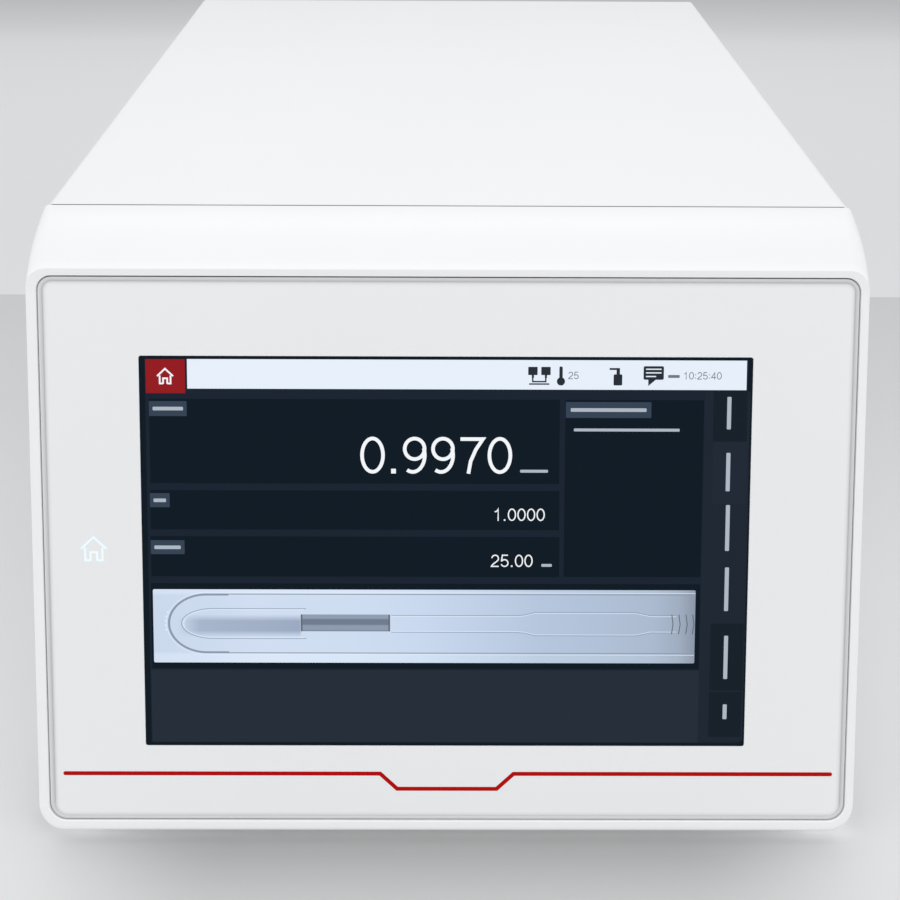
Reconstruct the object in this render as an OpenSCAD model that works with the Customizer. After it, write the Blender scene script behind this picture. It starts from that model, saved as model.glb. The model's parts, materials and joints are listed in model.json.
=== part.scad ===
// Benchtop density meter for liquids: a white casing with a leaning touch-screen front, a filling
// niche in its left side, and a thermostatted glass U-tube cell inside.
// X runs to the right seen from the front, Y to the rear, Z up. The origin is on the table,
// under the middle of the casing.

/* [Casing] */
// Width across the side walls
body_w = 347; // [340:1:356]
// Length from the foot of the front to the rear edge
body_l = 526; // [520:1:540]
// Height of the top above the table
body_h = 230; // [228:1:240]
// Clearance between the casing and the table
ground_gap = 12; // [11:1:14]
// Wall of the top cover
cover_wall = 3; // [2.5:0.5:3.5]
// Outer radius along the cover's long top edges
cover_edge_r = 4; // [3.5:0.5:6]

/* [Front] */
// Lean of the front back from upright, in degrees
front_lean = 30; // [28:1:32]
// Length of the front frame, measured up its face
face_len = 237; // [234:1:238]
// Depth of the bezel, square to its face
bezel_depth = 24.1; // [22:0.1:26]
// Gap of the seam between bezel and cover
seam_gap = 0.7; // [0.4:0.1:1.2]
// Corner radius of the frame's face
rim_corner_r = 8; // [6:0.5:10]
// Width of the frame's face at the sides
rim_side = 3.6; // [3:0.2:5]
// Width of the frame's face at the top
rim_top = 2.7; // [2.4:0.1:4]
// Width of the frame's face at the foot
rim_foot = 3.2; // [3:0.1:4]
// Gap between frame and front panel
panel_gap = 0.8; // [0.5:0.1:1]

/* [Screen] */
// Width of the lit window
screen_w = 253.6; // [240:0.2:260]
// Height of the lit window, up the face
screen_h = 164.3; // [150:0.1:170]
// Place of the window's middle along the face
screen_x = -0.5; // [-2:0.1:2]
// Place of the touch key left of the casing's middle
key_x = -148.1; // [-152:0.1:-144]

/* [Measuring cell] */
// Distance between the two legs of the U-tube
leg_spacing = 22; // [20:1:24]
// Outer diameter of the glass tube
tube_d = 4; // [3:0.5:4]
// Bore of the glass tube
tube_bore = 2.6; // [1.6:0.2:2.6]
// Height of the cell's axis above the table
cell_z = 118; // [112:1:122]
// Bore radius of a filling adapter, for a syringe tip
luer_r = 2.1; // [1.9:0.1:2.2]

/* [Rear] */
// Side of the square cooling fan
fan_size = 80; // [76:1:84]
// Number of fan blades
fan_blades = 7; // [5:1:9]
// Outer diameter of the drying cartridge
cartridge_d = 40; // [36:1:40]
// Tilt of the rocker at rest
rocker_tilt = 10; // [8:1:12]

/* [Hidden] */
$fn = 48;
hull_fn = 32;
front_y = -body_l / 2;
rear_y = body_l / 2;
side_x = body_w / 2;
inner_x = side_x - cover_wall;
face_mid = face_len / 2;
sheet = 2;
floor_top = ground_gap + sheet;

// The seam lies in a plane parallel to the face, and the shoulder's arc meets the top there.
seam_y = front_y + (bezel_depth + (body_h - ground_gap) * sin(front_lean)) / cos(front_lean);
crest_y = front_y + face_len * sin(front_lean);
crest_z = ground_gap + face_len * cos(front_lean);
shoulder_drop = body_h - crest_z;
shoulder_r = (pow(seam_y - crest_y, 2) + pow(shoulder_drop, 2)) / (2 * shoulder_drop);
shoulder_z = body_h - shoulder_r;
shoulder_angle = asin((seam_y - crest_y) / shoulder_r);
shoulder_v = (seam_y - front_y) * sin(front_lean) + (shoulder_z - ground_gap) * cos(front_lean);
shoulder_w = (seam_y - front_y) * cos(front_lean) - (shoulder_z - ground_gap) * sin(front_lean);

bezel_wall = 4;
bezel_slices = 8;
ledge_near = 4;
ledge_far = 6.5;
ledge_x = 163.5;
ledge_margin_v = 9;
lip_near = 20;
lip_far = 32;
panel_near = 0.5;
panel_step = 1.2;
channel_depth = 2.2;
channel_w = 1.5;
rim_lip = 0.4;
panel_ramp = 1.6;
module_w = screen_w + 8;
module_h = screen_h + 8;
bracket_near = 11;
bracket_sheet = 1.2;
boss_x = 166.4;
boss_v = [34, 203];

cell_y = -85;
niche_size = 84;
niche_r = 8;
niche_fit = 0.3;
niche_wall = 2.5;
niche_floor_x = -150.5;
nozzle_y = -112;
nozzle_z = 83.5;
nozzle_end_x = niche_floor_x + 8;
port_offsets = [-leg_spacing / 2, leg_spacing / 2];
leg_start_x = niche_floor_x + 6;
bend_x = 20;
jacket_r = 17;
jacket_wall = 2;
jacket_left = -112;
block_left = -120;
block_right = 50;
block_half_y = 28;
block_half_z = 27;
window_left = -95;
window_right = 25;
window_h = 18;
foam = 12;
sink_base = 6;
peltier_h = 3.8;
sink_top = cell_z - block_half_z - peltier_h;
post_places = [[-120, -119], [50, -119], [-120, -51], [50, -51]];
coil_places = [-58, -32];
coil_core_r = 3;
camera_x = -35;
camera_rear_y = 46;
probe_x = -100;
probe_y = cell_y + 21;
probe_tip_z = cell_z + 6;

pump_x = 121;
pump_y = -128;
pump_port_z = 33;

foot_places = [[-140, -208], [140, -208], [-140, 228], [140, 228]];
cover_screw_y = [-190, 30, 240];
cover_screw_z = 26;
bezel_screw_x = [-140, -60, 60, 140];
bezel_screw_y = -243;

panel_rear_y = rear_y - 6;
fan_x = 50;
fan_z = 150;
fan_depth = 25;
fan_front_y = panel_rear_y - sheet - fan_depth;
fan_bolt = fan_size / 2 - 4.25;
cartridge_x = -125;
cartridge_z = 150;
mains_x = 140;
mains_z = 92;
rocker_z = mains_z + 19;
fuse_z = mains_z + 3;
socket_z = mains_z - 15;
board_z = 24;
board_left = -110;
board_right = 46;
board_front_y = 84;
board_rear_y = 252;
usb_x = -80;
network_x = -50;
supply_left = 62;
supply_w = 100;
supply_front_y = 86;
bulkhead_y = 66;
bulkhead_half_w = 165;
bulkhead_h = 200;
cable_hole = [98, 98];

// ---- Helpers -------------------------------------------------------------------------------

// Rectangle with round corners, centred
module rounded_rect(w, h, r) {
  if (w > 2 * r) square([w - 2 * r, h], center = true);
  if (h > 2 * r) square([w, h - 2 * r], center = true);
  for (sx = [-1, 1], sy = [-1, 1])
    translate([sx * (w / 2 - r), sy * (h / 2 - r)]) circle(r);
}

// Frame of the leaning face: X to the right, Y up the face, Z outward, sunk by a depth
module on_face(depth = 0) {
  translate([0, front_y, ground_gap])
    rotate([90 - front_lean, 0, 0])
      translate([0, 0, -depth])
        children();
}

// Plate in the face's frame, between two heights up the face and two depths
module face_plate(w, low, high, r, near, far, x = 0) {
  on_face(far)
    translate([x, (low + high) / 2, 0])
      linear_extrude(far - near)
        rounded_rect(w, high - low, r);
}

// Everything between two planes parallel to the face
module face_slab(near, far) {
  on_face(far)
    translate([-body_w, -body_h, 0])
      cube([2 * body_w, 5 * body_h, far - near]);
}

// A drawing of the side view, Y across and Z up, made as wide as needed
module side_profile(w) {
  rotate([90, 0, 90])
    linear_extrude(w, center = true)
      children();
}

// Rounded plate facing left, between two places along X
module side_plate(y, z, w, h, r, x0, x1) {
  translate([x0, y, z])
    rotate([90, 0, 90])
      linear_extrude(x1 - x0)
        rounded_rect(w, h, r);
}

// Rounded plate facing the rear, between two places along Y
module rear_plate(x, z, w, h, r, y0, y1) {
  translate([x, y1, z])
    rotate([90, 0, 0])
      linear_extrude(y1 - y0)
        rounded_rect(w, h, r);
}

// Cylinder along X or Y from a starting point
module rod_x(x0, x1, y, z, r) {
  translate([x0, y, z]) rotate([0, 90, 0]) cylinder(r = r, h = x1 - x0);
}

module rod_y(y0, y1, x, z, r) {
  translate([x, y1, z]) rotate([90, 0, 0]) cylinder(r = r, h = y1 - y0);
}

// Smooth curve through hand-set points, and a round lead or hose swept along it. The direction
// called aside never lies along the path, so that the rings don't twist.
function spline_point(a, b, c, d, t) =
  0.5 * (2 * b + (c - a) * t + (2 * a - 5 * b + 4 * c - d) * t * t
    + (3 * b - a - 3 * c + d) * t * t * t);

function spline(points, steps) = [
  for (i = [0 : len(points) - 2], k = [0 : steps - 1])
    spline_point(points[max(i - 1, 0)], points[i], points[i + 1],
      points[min(i + 2, len(points) - 1)], k / steps),
  points[len(points) - 1]
];

function unit(v) = v / norm(v);

function ring_at(path, i, r, sides, aside) =
  let (
    ahead = unit(path[min(i + 1, len(path) - 1)] - path[max(i - 1, 0)]),
    across = unit(cross(ahead, aside)),
    up = cross(across, ahead)
  )
  [for (k = [0 : sides - 1])
    path[i] + r * (cos(360 * k / sides) * across + sin(360 * k / sides) * up)];

module lead(points, r, aside, steps = 4, sides = 8) {
  path = spline(points, steps);
  rings = [for (i = [0 : len(path) - 1]) each ring_at(path, i, r, sides, aside)];
  last = (len(path) - 1) * sides;
  walls = [
    for (i = [0 : len(path) - 2], k = [0 : sides - 1])
      let (a = i * sides + k, b = i * sides + (k + 1) % sides)
        each [[a, b, b + sides], [a, b + sides, a + sides]]
  ];
  ends = [
    [for (k = [sides - 1 : -1 : 0]) k],
    [for (k = [0 : sides - 1]) last + k]
  ];
  polyhedron(rings, concat(walls, ends));
}

// ---- Casing --------------------------------------------------------------------------------

module cover_section(inset, edge_r) {
  w = body_w - 2 * inset;
  top = body_h - inset;
  translate([-w / 2, 0]) square([w, top - edge_r]);
  translate([-w / 2 + edge_r, 0]) square([w - 2 * edge_r, top]);
  for (sx = [-1, 1])
    translate([sx * (w / 2 - edge_r), top - edge_r]) circle(edge_r);
}

module cover_prism(inset, edge_r) {
  translate([0, rear_y, 0])
    rotate([90, 0, 0])
      linear_extrude(body_l)
        cover_section(inset, edge_r);
}

module countersunk_hole(sx, y, z) {
  depth = cover_wall + 1;
  translate([sx * (side_x + 0.01), y, z])
    rotate([0, -sx * 90, 0]) {
      cylinder(r1 = 4.2, r2 = 2.2, h = 2);
      cylinder(r = 2.2, h = depth);
    }
}

module top_cover() color("whitesmoke") difference() {
  cover_prism(0, cover_edge_r);
  difference() {
    cover_prism(cover_wall, cover_edge_r - cover_wall);
    translate([-side_x, rear_y - 4, body_h - 9]) cube([body_w, 5, 9]);
  }
  translate([-body_w, front_y - 1, -1]) cube([2 * body_w, body_l + 2, ground_gap + 1]);
  face_slab(-body_l, bezel_depth + seam_gap);
  side_plate(cell_y, cell_z, niche_size + 2 * niche_fit, niche_size + 2 * niche_fit,
    niche_r + niche_fit, -side_x - 1, -inner_x + 1);
  for (sx = [-1, 1], y = cover_screw_y) countersunk_hole(sx, y, cover_screw_z);
}

// One slice of the bezel, parallel to its face: four round corners at a depth
module bezel_slice(depth) {
  ease = depth / bezel_depth;
  r = rim_corner_r + (cover_edge_r + 0.3 - rim_corner_r) * ease;
  low = depth * tan(front_lean);
  high = shoulder_v + sqrt(pow(shoulder_r, 2) - pow(depth - shoulder_w, 2));
  on_face(depth)
    for (sx = [-1, 1]) {
      translate([sx * (side_x - r), high - r, 0])
        linear_extrude(0.01) circle(r, $fn = hull_fn);
      translate([sx * (side_x - rim_corner_r), low + rim_corner_r, 0])
        linear_extrude(0.01) circle(rim_corner_r, $fn = hull_fn);
    }
}

module bezel_hollow() {
  inner_r = shoulder_r - bezel_wall;
  bottom = ground_gap + bezel_wall;
  start = [seam_y - inner_r * sin(shoulder_angle), shoulder_z + inner_r * cos(shoulder_angle)];
  run = (start[1] - bottom) * tan(front_lean);
  intersection() {
    side_profile(body_w - 2 * bezel_wall) {
      translate([seam_y, shoulder_z]) circle(inner_r);
      polygon([[seam_y, shoulder_z], start, [start[0] - run, bottom], [seam_y, bottom]]);
    }
    face_slab(ledge_far, body_l);
  }
}

// Thin tongue that guides the cover, just inside its front edge
module bezel_lip() {
  w = 2 * inner_x - 0.6;
  top = body_h - cover_wall - 0.3;
  foot = ground_gap + 8;
  intersection() {
    difference() {
      translate([-w / 2, front_y, foot]) cube([w, body_l, top - foot]);
      translate([-w / 2 + 2, front_y - 1, foot - 1]) cube([w - 4, body_l + 2, top - foot - 1.2]);
    }
    face_slab(lip_near, lip_far);
  }
}

module front_bezel() color("whitesmoke") difference() {
  union() {
    difference() {
      hull() for (i = [0 : bezel_slices]) bezel_slice(bezel_depth * i / bezel_slices);
      bezel_hollow();
    }
    bezel_lip();
    for (sx = [-1, 1], v = boss_v)
      on_face(bracket_near) translate([sx * boss_x, v, 0])
        cylinder(r = 2.9, h = bracket_near - ledge_far + 1);
  }
  face_plate(body_w - 2 * rim_side, rim_foot, face_len - rim_top, rim_corner_r - 2, -2, ledge_near);
  face_plate(2 * ledge_x, ledge_margin_v, face_len - ledge_margin_v, 4, ledge_near - 1, ledge_far + 1);
  for (sx = [-1, 1], v = boss_v)
    on_face(bracket_near + 1) translate([sx * boss_x, v, 0]) cylinder(r = 1.2, h = 5);
  for (x = bezel_screw_x)
    translate([x, bezel_screw_y, ground_gap - 1]) cylinder(r = 2.2, h = 8);
}

// A plate that fills the frame, less a margin all round
module panel_plate(margin, near, far) {
  face_plate(body_w - 2 * (rim_side + margin), rim_foot + margin, face_len - rim_top - margin,
    max(rim_corner_r - 2 - margin, 1.5), near, far);
}

module front_panel() color("gainsboro") difference() {
  union() {
    difference() {
      panel_plate(panel_gap, panel_step, ledge_near);
      panel_plate(panel_gap + rim_lip, 0, channel_depth);
    }
    hull() {
      panel_plate(panel_gap + rim_lip + channel_w, channel_depth, ledge_near);
      panel_plate(panel_gap + rim_lip + channel_w + panel_ramp, panel_near, ledge_near);
    }
  }
  face_plate(screen_w, face_mid - screen_h / 2, face_mid + screen_h / 2, 1, -1, ledge_near + 1,
    screen_x);
  on_face(ledge_near + 0.01) translate([key_x, face_mid + 1.8, 0]) cylinder(r = 7, h = 2.5);
}

module panel_seal() color("dimgray") difference() {
  panel_plate(0, channel_depth + 0.4, ledge_near);
  panel_plate(panel_gap, 0, ledge_near + 1);
}

module touch_glass() color("black") {
  fit = 0.4;
  face_plate(screen_w - fit, face_mid - (screen_h - fit) / 2, face_mid + (screen_h - fit) / 2,
    0.9, panel_near + 0.15, ledge_near, screen_x);
}

module screen_module() color("silver") difference() {
  face_plate(module_w, face_mid - module_h / 2, face_mid + module_h / 2, 2, ledge_near,
    bracket_near, screen_x);
  for (k = [-1, 1])
    face_plate(30, face_mid + k * 60 - 8, face_mid + k * 60 + 8, 2, 9, bracket_near + 1, 90);
}

module screen_bracket() color("lightsteelblue") difference() {
  union() {
    face_plate(2 * (boss_x + 3), 22, 215, 4, bracket_near, bracket_near + bracket_sheet);
    for (v = [22, 215 - 1.2])
      face_plate(2 * (boss_x - 3), v, v + 1.2, 0.5, bracket_near, bracket_near + 7);
    for (sx = [-1, 1], k = [-1, 1])
      on_face(bracket_near + 5) translate([sx * 70, face_mid + k * 45, 0]) cylinder(r = 3, h = 5);
  }
  face_plate(120, face_mid - 38, face_mid + 38, 6, 8, bracket_near + 3);
  for (sx = [-1, 1]) face_plate(30, 50, 187, 5, 8, bracket_near + 3, sx * 110);
  for (sx = [-1, 1], v = boss_v)
    on_face(bracket_near + 3) translate([sx * boss_x, v, 0]) cylinder(r = 1.8, h = 6);
  for (sx = [-1, 1], k = [-1, 1])
    on_face(bracket_near + 6) translate([sx * 70, face_mid + k * 45, 0]) cylinder(r = 1.2, h = 8);
}

module screen_screws() color("silver") {
  head = bracket_near + bracket_sheet;
  for (sx = [-1, 1], v = boss_v)
    on_face(head) translate([sx * boss_x, v, -1.8]) {
      cylinder(r = 2.6, h = 1.8);
      cylinder(r = 1.1, h = 6);
    }
}

module screen_board() color("seagreen") {
  near = bracket_near + 5;
  face_plate(160, face_mid - 52, face_mid + 52, 2, near, near + 1.6);
  face_plate(34, face_mid - 17, face_mid + 17, 1, near + 1.5, near + 4, -30);
  face_plate(18, face_mid + 10, face_mid + 28, 1, near + 1.5, near + 3.2, 22);
  face_plate(40, face_mid - 46, face_mid - 40, 0.5, near + 1.5, near + 6, 30);
  for (k = [0 : 4]) face_plate(7, face_mid - 30, face_mid - 20, 1, near + 1.5, near + 5, 5 + 11 * k);
}

module key_sensor() color("seagreen") difference() {
  face_plate(20, face_mid - 16, face_mid + 18, 2, ledge_near, ledge_near + 1.6, key_x);
  on_face(ledge_near + 2) translate([key_x, face_mid + 1.8, 0]) cylinder(r = 3, h = 3);
}

module key_light_guide() color("aliceblue") {
  on_face(ledge_near) translate([key_x, face_mid + 1.8, 0]) cylinder(r = 6.8, h = 2.3);
}

module foot_bores(z0, h, r) {
  for (p = foot_places) translate([p[0], p[1], z0]) cylinder(r = r, h = h);
}

// Folded sheet floor with turned-up edges, tabs for the bezel and rows of air slots
module base_tray() color("lightgray") {
  flange_h = 26;
  half_w = inner_x - 0.7;
  front = front_y + 31;
  tab_front = front_y + 13;
  back = panel_rear_y - sheet - 0.2;
  difference() {
    union() {
      translate([-half_w, front, ground_gap]) cube([2 * half_w, back - front, sheet]);
      for (x = [-half_w, half_w - sheet])
        difference() {
          translate([x, front, ground_gap]) cube([sheet, back - front, flange_h]);
          face_slab(-body_l, bezel_depth + 12);
        }
      translate([-half_w, back - sheet, ground_gap]) cube([2 * half_w, sheet, 10]);
      for (x = bezel_screw_x)
        translate([x - 9, tab_front, ground_gap + bezel_wall])
          cube([18, front + sheet - tab_front, sheet]);
      for (x = bezel_screw_x)
        translate([x - 9, front, ground_gap]) cube([18, sheet, bezel_wall + sheet]);
    }
    for (k = [0 : 9], y = [-115, -75])
      translate([-115 + 18 * k, y, ground_gap - 1]) {
        cube([4, 30, sheet + 2]);
        for (e = [0, 30]) translate([2, e, 0]) cylinder(r = 2, h = sheet + 2);
      }
    foot_bores(ground_gap - 1, sheet + 5, 2.2);
    for (x = bezel_screw_x)
      translate([x, bezel_screw_y, ground_gap + bezel_wall - 1]) cylinder(r = 1.7, h = 4);
    for (sx = [-1, 1], y = cover_screw_y)
      rod_x(sx * half_w - 4, sx * half_w + 4, y, cover_screw_z, 1.7);
  }
}

// Round rubber foot with a sunk screw seat
module foot(p) color("dimgray") {
  translate([p[0], p[1], 0])
    rotate_extrude()
      difference() {
        union() {
          square([12, ground_gap]);
          translate([0, 1]) square([13, ground_gap - 4]);
          translate([12, 1]) circle(1);
        }
        translate([-1, -1]) square([3.3, ground_gap + 2]);
        translate([-1, -1]) square([6.5, 7]);
      }
}

module foot_front_left() foot(foot_places[0]);
module foot_front_right() foot(foot_places[1]);
module foot_rear_left() foot(foot_places[2]);
module foot_rear_right() foot(foot_places[3]);

module foot_screws() color("silver")
  for (p = foot_places)
    translate([p[0], p[1], 6]) {
      translate([0, 0, -2.8]) cylinder(r = 4, h = 2.8);
      translate([0, 0, -0.01]) cylinder(r = 2.1, h = ground_gap - 1);
    }

module cover_screws() color("silver")
  for (sx = [-1, 1], y = cover_screw_y)
    translate([sx * side_x, y, cover_screw_z])
      rotate([0, -sx * 90, 0])
        difference() {
          union() {
            cylinder(r1 = 4.1, r2 = 2.1, h = 2);
            cylinder(r = 1.6, h = 7);
          }
          translate([0, 0, -0.5]) cylinder(r = 1.5, h = 1.9, $fn = 6);
        }

module bezel_screws() color("silver")
  for (x = bezel_screw_x)
    translate([x, bezel_screw_y, ground_gap - 2.2]) {
      cylinder(r = 3.8, h = 2.2);
      cylinder(r = 1.6, h = 9);
    }

// Rear wall with folded edges and one opening for each piece that it carries
module rear_panel() color("lightgray") {
  y0 = panel_rear_y - sheet;
  half_w = inner_x - 0.7;
  bottom = ground_gap + 0.2;
  top = body_h - cover_wall - 0.5;
  mid_z = (bottom + top) / 2;
  difference() {
    union() {
      rear_plate(0, mid_z, 2 * half_w, top - bottom, 1.5, y0, panel_rear_y);
      for (x = [-half_w, half_w - sheet])
        translate([x, y0 - 10, 45]) cube([sheet, 11, top - 60]);
      translate([-half_w + 10, y0 - 10, top - sheet]) cube([2 * half_w - 20, 11, sheet]);
    }
    rod_y(y0 - 1, rear_y, fan_x, fan_z, fan_size / 2 - 2);
    for (sx = [-1, 1], sz = [-1, 1])
      rod_y(y0 - 1, rear_y, fan_x + sx * fan_bolt, fan_z + sz * fan_bolt, 2);
    rod_y(y0 - 1, rear_y, cartridge_x, cartridge_z, cartridge_d / 2 + 3.3);
    rear_plate(mains_x, mains_z, 28.6, 60.6, 1, y0 - 1, rear_y);
    for (x = [usb_x, network_x]) rear_plate(x, board_z + 8.6, 20, 18, 1, y0 - 1, rear_y);
    for (k = [0 : 8], sz = [0, 1])
      rear_plate(-70 + 9 * k, 140 + 34 * sz, 4, 26, 2, y0 - 1, rear_y);
    for (k = [0 : 7]) rear_plate(-10 + 9 * k, 62, 4, 30, 2, y0 - 1, rear_y);
  }
}

// Upright sheet between the cell and the electronics
module bulkhead() color("lightgray") difference() {
  w = 2 * bulkhead_half_w;
  y0 = bulkhead_y - 6;
  y1 = bulkhead_y + 24;
  translate([-bulkhead_half_w, bulkhead_y, floor_top])
    union() {
      cube([w, sheet, bulkhead_h]);
      cube([w, 14, sheet]);
      translate([0, 0, bulkhead_h - sheet]) cube([w, 14, sheet]);
    }
  rod_y(y0, y1, cartridge_x, cartridge_z, 8);
  rod_y(y0, y1, cable_hole[0], cable_hole[1], 8);
  rod_y(y0, y1, camera_x, 80, 9);
  for (k = [0 : 9]) rear_plate(5 + 13 * k, 165, 6, 60, 3, y0, y1);
  for (k = [0 : 5]) rear_plate(-70 + 13 * k, 165, 6, 60, 3, y0, y1);
}

// ---- Filling side --------------------------------------------------------------------------

// Niche with two raised seats for the adapters, and a low sill that keeps drips inside
module port_tray() color("slategray") difference() {
  sill = 3;
  inside = niche_size - 2 * niche_wall;
  union() {
    side_plate(cell_y, cell_z, niche_size, niche_size, niche_r, -side_x, niche_floor_x + niche_wall);
    side_plate(cell_y, cell_z, niche_size + 12, niche_size + 12, niche_r + 4,
      -inner_x, -inner_x + 2.5);
  }
  difference() {
    side_plate(cell_y, cell_z, inside, inside, niche_r - niche_wall, -side_x - 1, niche_floor_x);
    for (dz = port_offsets) rod_x(niche_floor_x - 1.2, niche_floor_x + 1, cell_y, cell_z + dz, 9.9);
    translate([-side_x, cell_y - 34, cell_z - inside / 2 - 0.1]) cube([1.6, 68, sill]);
  }
  for (dz = port_offsets) rod_x(niche_floor_x - 3, niche_floor_x + 4, cell_y, cell_z + dz, 5.7);
  rod_x(niche_floor_x - 3, niche_floor_x + 4, nozzle_y, nozzle_z, 3.1);
}

// Block behind the niche that the adapters screw into and the glass legs end in
module port_block() color("silver") difference() {
  side_plate(cell_y, cell_z, 24, 52, 3, niche_floor_x + niche_wall, niche_floor_x + 12.5);
  for (dz = port_offsets) {
    rod_x(niche_floor_x, niche_floor_x + 11, cell_y, cell_z + dz, 5.5);
    rod_x(niche_floor_x, niche_floor_x + 14, cell_y, cell_z + dz, tube_d / 2 + 0.1);
  }
}

// Filling adapter: threaded stem, knurled collar and a socket for a syringe tip
module adapter(dz) color("lightsteelblue") {
  collar_r = 9;
  collar_h = 9;
  stem = 10.5;
  nose = 20.5;
  translate([niche_floor_x - 1.2, cell_y, cell_z + dz])
    rotate([0, -90, 0])
      difference() {
        rotate_extrude()
          polygon([
            [1.3, -stem + 1.3 + 2.2], [3.6, -stem + 1.3 + 2.2], [3.6, -stem + 1.3], [5.4, -stem + 1.3],
            [5.4, 0], [collar_r, 0], [collar_r, collar_h - 1], [collar_r - 1, collar_h],
            [6, collar_h], [6, collar_h + 2], [4.6, collar_h + 2], [4, nose],
            [luer_r, nose], [luer_r, nose - 12], [1.3, nose - 12]
          ]);
        for (a = [0 : 24 : 336])
          rotate(a) translate([collar_r + 0.4, 0, -1]) cylinder(r = 1, h = collar_h + 2, $fn = 16);
      }
}

module inlet_adapter() adapter(port_offsets[0]);
module outlet_adapter() adapter(port_offsets[1]);

module adapter_seals() color("black")
  for (dz = port_offsets)
    translate([niche_floor_x + 6, cell_y, cell_z + dz])
      rotate([0, 90, 0])
        difference() {
          cylinder(r = 3.5, h = 1.8);
          translate([0, 0, -1]) cylinder(r = tube_d / 2 + 0.05, h = 4);
        }

module air_nozzle() color("silver") difference() {
  union() {
    rod_x(niche_floor_x - 8, nozzle_end_x, nozzle_y, nozzle_z, 3);
    rod_x(niche_floor_x - 2, niche_floor_x, nozzle_y, nozzle_z, 4.5);
  }
  rod_x(niche_floor_x - 9, nozzle_end_x + 1, nozzle_y, nozzle_z, 1.5);
}

// ---- Measuring cell ------------------------------------------------------------------------

module u_tube_section(r) {
  for (dz = port_offsets) rod_x(leg_start_x, bend_x, cell_y, cell_z + dz, r);
  translate([bend_x, cell_y, cell_z])
    rotate([90, 0, 0])
      rotate([0, 0, -90])
        rotate_extrude(angle = 180)
          translate([leg_spacing / 2, 0]) circle(r);
}

module u_tube() color("azure") difference() {
  u_tube_section(tube_d / 2);
  u_tube_section(tube_bore / 2);
  for (dz = port_offsets)
    rod_x(leg_start_x - 1, leg_start_x + 1, cell_y, cell_z + dz, tube_bore / 2);
}

module jacket_body(r, left, right) {
  rod_x(left, right - r, cell_y, cell_z, r);
  translate([right - r, cell_y, cell_z]) sphere(r);
}

module cell_jacket() color("azure") difference() {
  jacket_body(jacket_r, jacket_left, 38);
  jacket_body(jacket_r - jacket_wall, jacket_left + 6, 38 - jacket_wall);
  for (dz = port_offsets) rod_x(jacket_left - 1, jacket_left + 7, cell_y, cell_z + dz, tube_d / 2 + 0.05);
}

module tube_magnet() color("gray") difference() {
  translate([-62, cell_y - 2.5, cell_z - 10]) cube([38, 5, 20]);
  for (dz = port_offsets) rod_x(-63, -23, cell_y, cell_z + dz, tube_d / 2 + 0.02);
}

module drive_coils() color("peru")
  for (x = coil_places)
    translate([x, cell_y, cell_z + jacket_r + 0.02])
      difference() {
        cylinder(r = 9, h = 7);
        translate([0, 0, -1]) cylinder(r = coil_core_r, h = 9);
      }

// Thermostat block in two halves that clamp the jacket, with a slot to look through
module cell_block(y0, y1) {
  difference() {
    translate([block_left, y0, cell_z - block_half_z])
      cube([block_right - block_left, y1 - y0, 2 * block_half_z]);
    rod_x(block_left - 1, block_right + 1, cell_y, cell_z, jacket_r + 0.3);
    translate([window_left, cell_y - 40, cell_z - window_h / 2])
      cube([window_right - window_left, 80, window_h]);
    for (x = coil_places)
      translate([x, cell_y, cell_z]) cylinder(r = 9.3, h = block_half_z + 1);
    for (x = [block_left + 10, block_right - 10], sz = [-1, 1])
      rod_y(cell_y - 40, cell_y + 40, x, cell_z + sz * 21.5, 2.1);
    translate([probe_x, probe_y, probe_tip_z - 0.2]) cylinder(r = 2.1, h = block_half_z);
  }
}

module cell_block_front() color("silver") difference() {
  cell_block(cell_y - block_half_y, cell_y);
  translate([window_left - 3, cell_y - block_half_y - 1, cell_z - 12])
    cube([window_right - window_left + 6, 3.4, 24]);
}

module cell_block_rear() color("silver") difference() {
  cell_block(cell_y, cell_y + block_half_y);
  translate([window_left - 2, cell_y + block_half_y - 2, cell_z - 11])
    cube([window_right - window_left + 4, 3, 22]);
}

module block_screws() color("dimgray")
  for (x = [block_left + 10, block_right - 10], sz = [-1, 1]) {
    rod_y(cell_y - block_half_y, cell_y + 22, x, cell_z + sz * 21.5, 1.95);
    rod_y(cell_y - block_half_y - 3, cell_y - block_half_y, x, cell_z + sz * 21.5, 3.5);
  }

module peltier_elements() color("whitesmoke")
  for (x = [-78, 8])
    translate([x - 20, cell_y - 20, sink_top]) cube([40, 40, peltier_h]);

// Finned sink under the block, fins along Y
module heat_sink() color("silver") {
  fin_foot = 50;
  x0 = -127;
  w = 184;
  y0 = cell_y - 40;
  union() {
    translate([x0, y0, sink_top - sink_base]) cube([w, 80, sink_base]);
    for (k = [0 : 15])
      translate([x0 + 14 + k * 10, y0, fin_foot]) cube([2, 80, sink_top - fin_foot - 1]);
  }
}

module cell_posts() color("lightgray")
  for (p = post_places)
    translate([p[0], p[1], floor_top]) cylinder(r = 4, h = sink_top - sink_base - floor_top);

module cell_insulation() color("dimgray") {
  y0 = cell_y - block_half_y - 4;
  y1 = cell_y + block_half_y + 0.2;
  difference() {
    translate([block_left - foam, y0 - foam, sink_top])
      cube([block_right - block_left + 2 * foam, y1 - y0 + 2 * foam, 2 * block_half_z + 16]);
    translate([block_left - 0.2, y0, sink_top - 1])
      cube([block_right - block_left + 0.4, y1 - y0, 2 * block_half_z + 5.4]);
    translate([window_left - 2, y1 - 1, cell_z - 11]) cube([window_right - window_left + 4, foam + 2, 22]);
    for (dz = port_offsets) rod_x(block_left - foam - 1, block_left + 1, cell_y, cell_z + dz, 4);
    translate([probe_x, probe_y, cell_z + 20]) cylinder(r = 3.2, h = 40);
  }
}

module temperature_probe() color("silver") translate([probe_x, probe_y, probe_tip_z]) {
  cylinder(r = 2, h = 44);
  translate([0, 0, 42]) cylinder(r = 3.5, h = 9);
}

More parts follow.
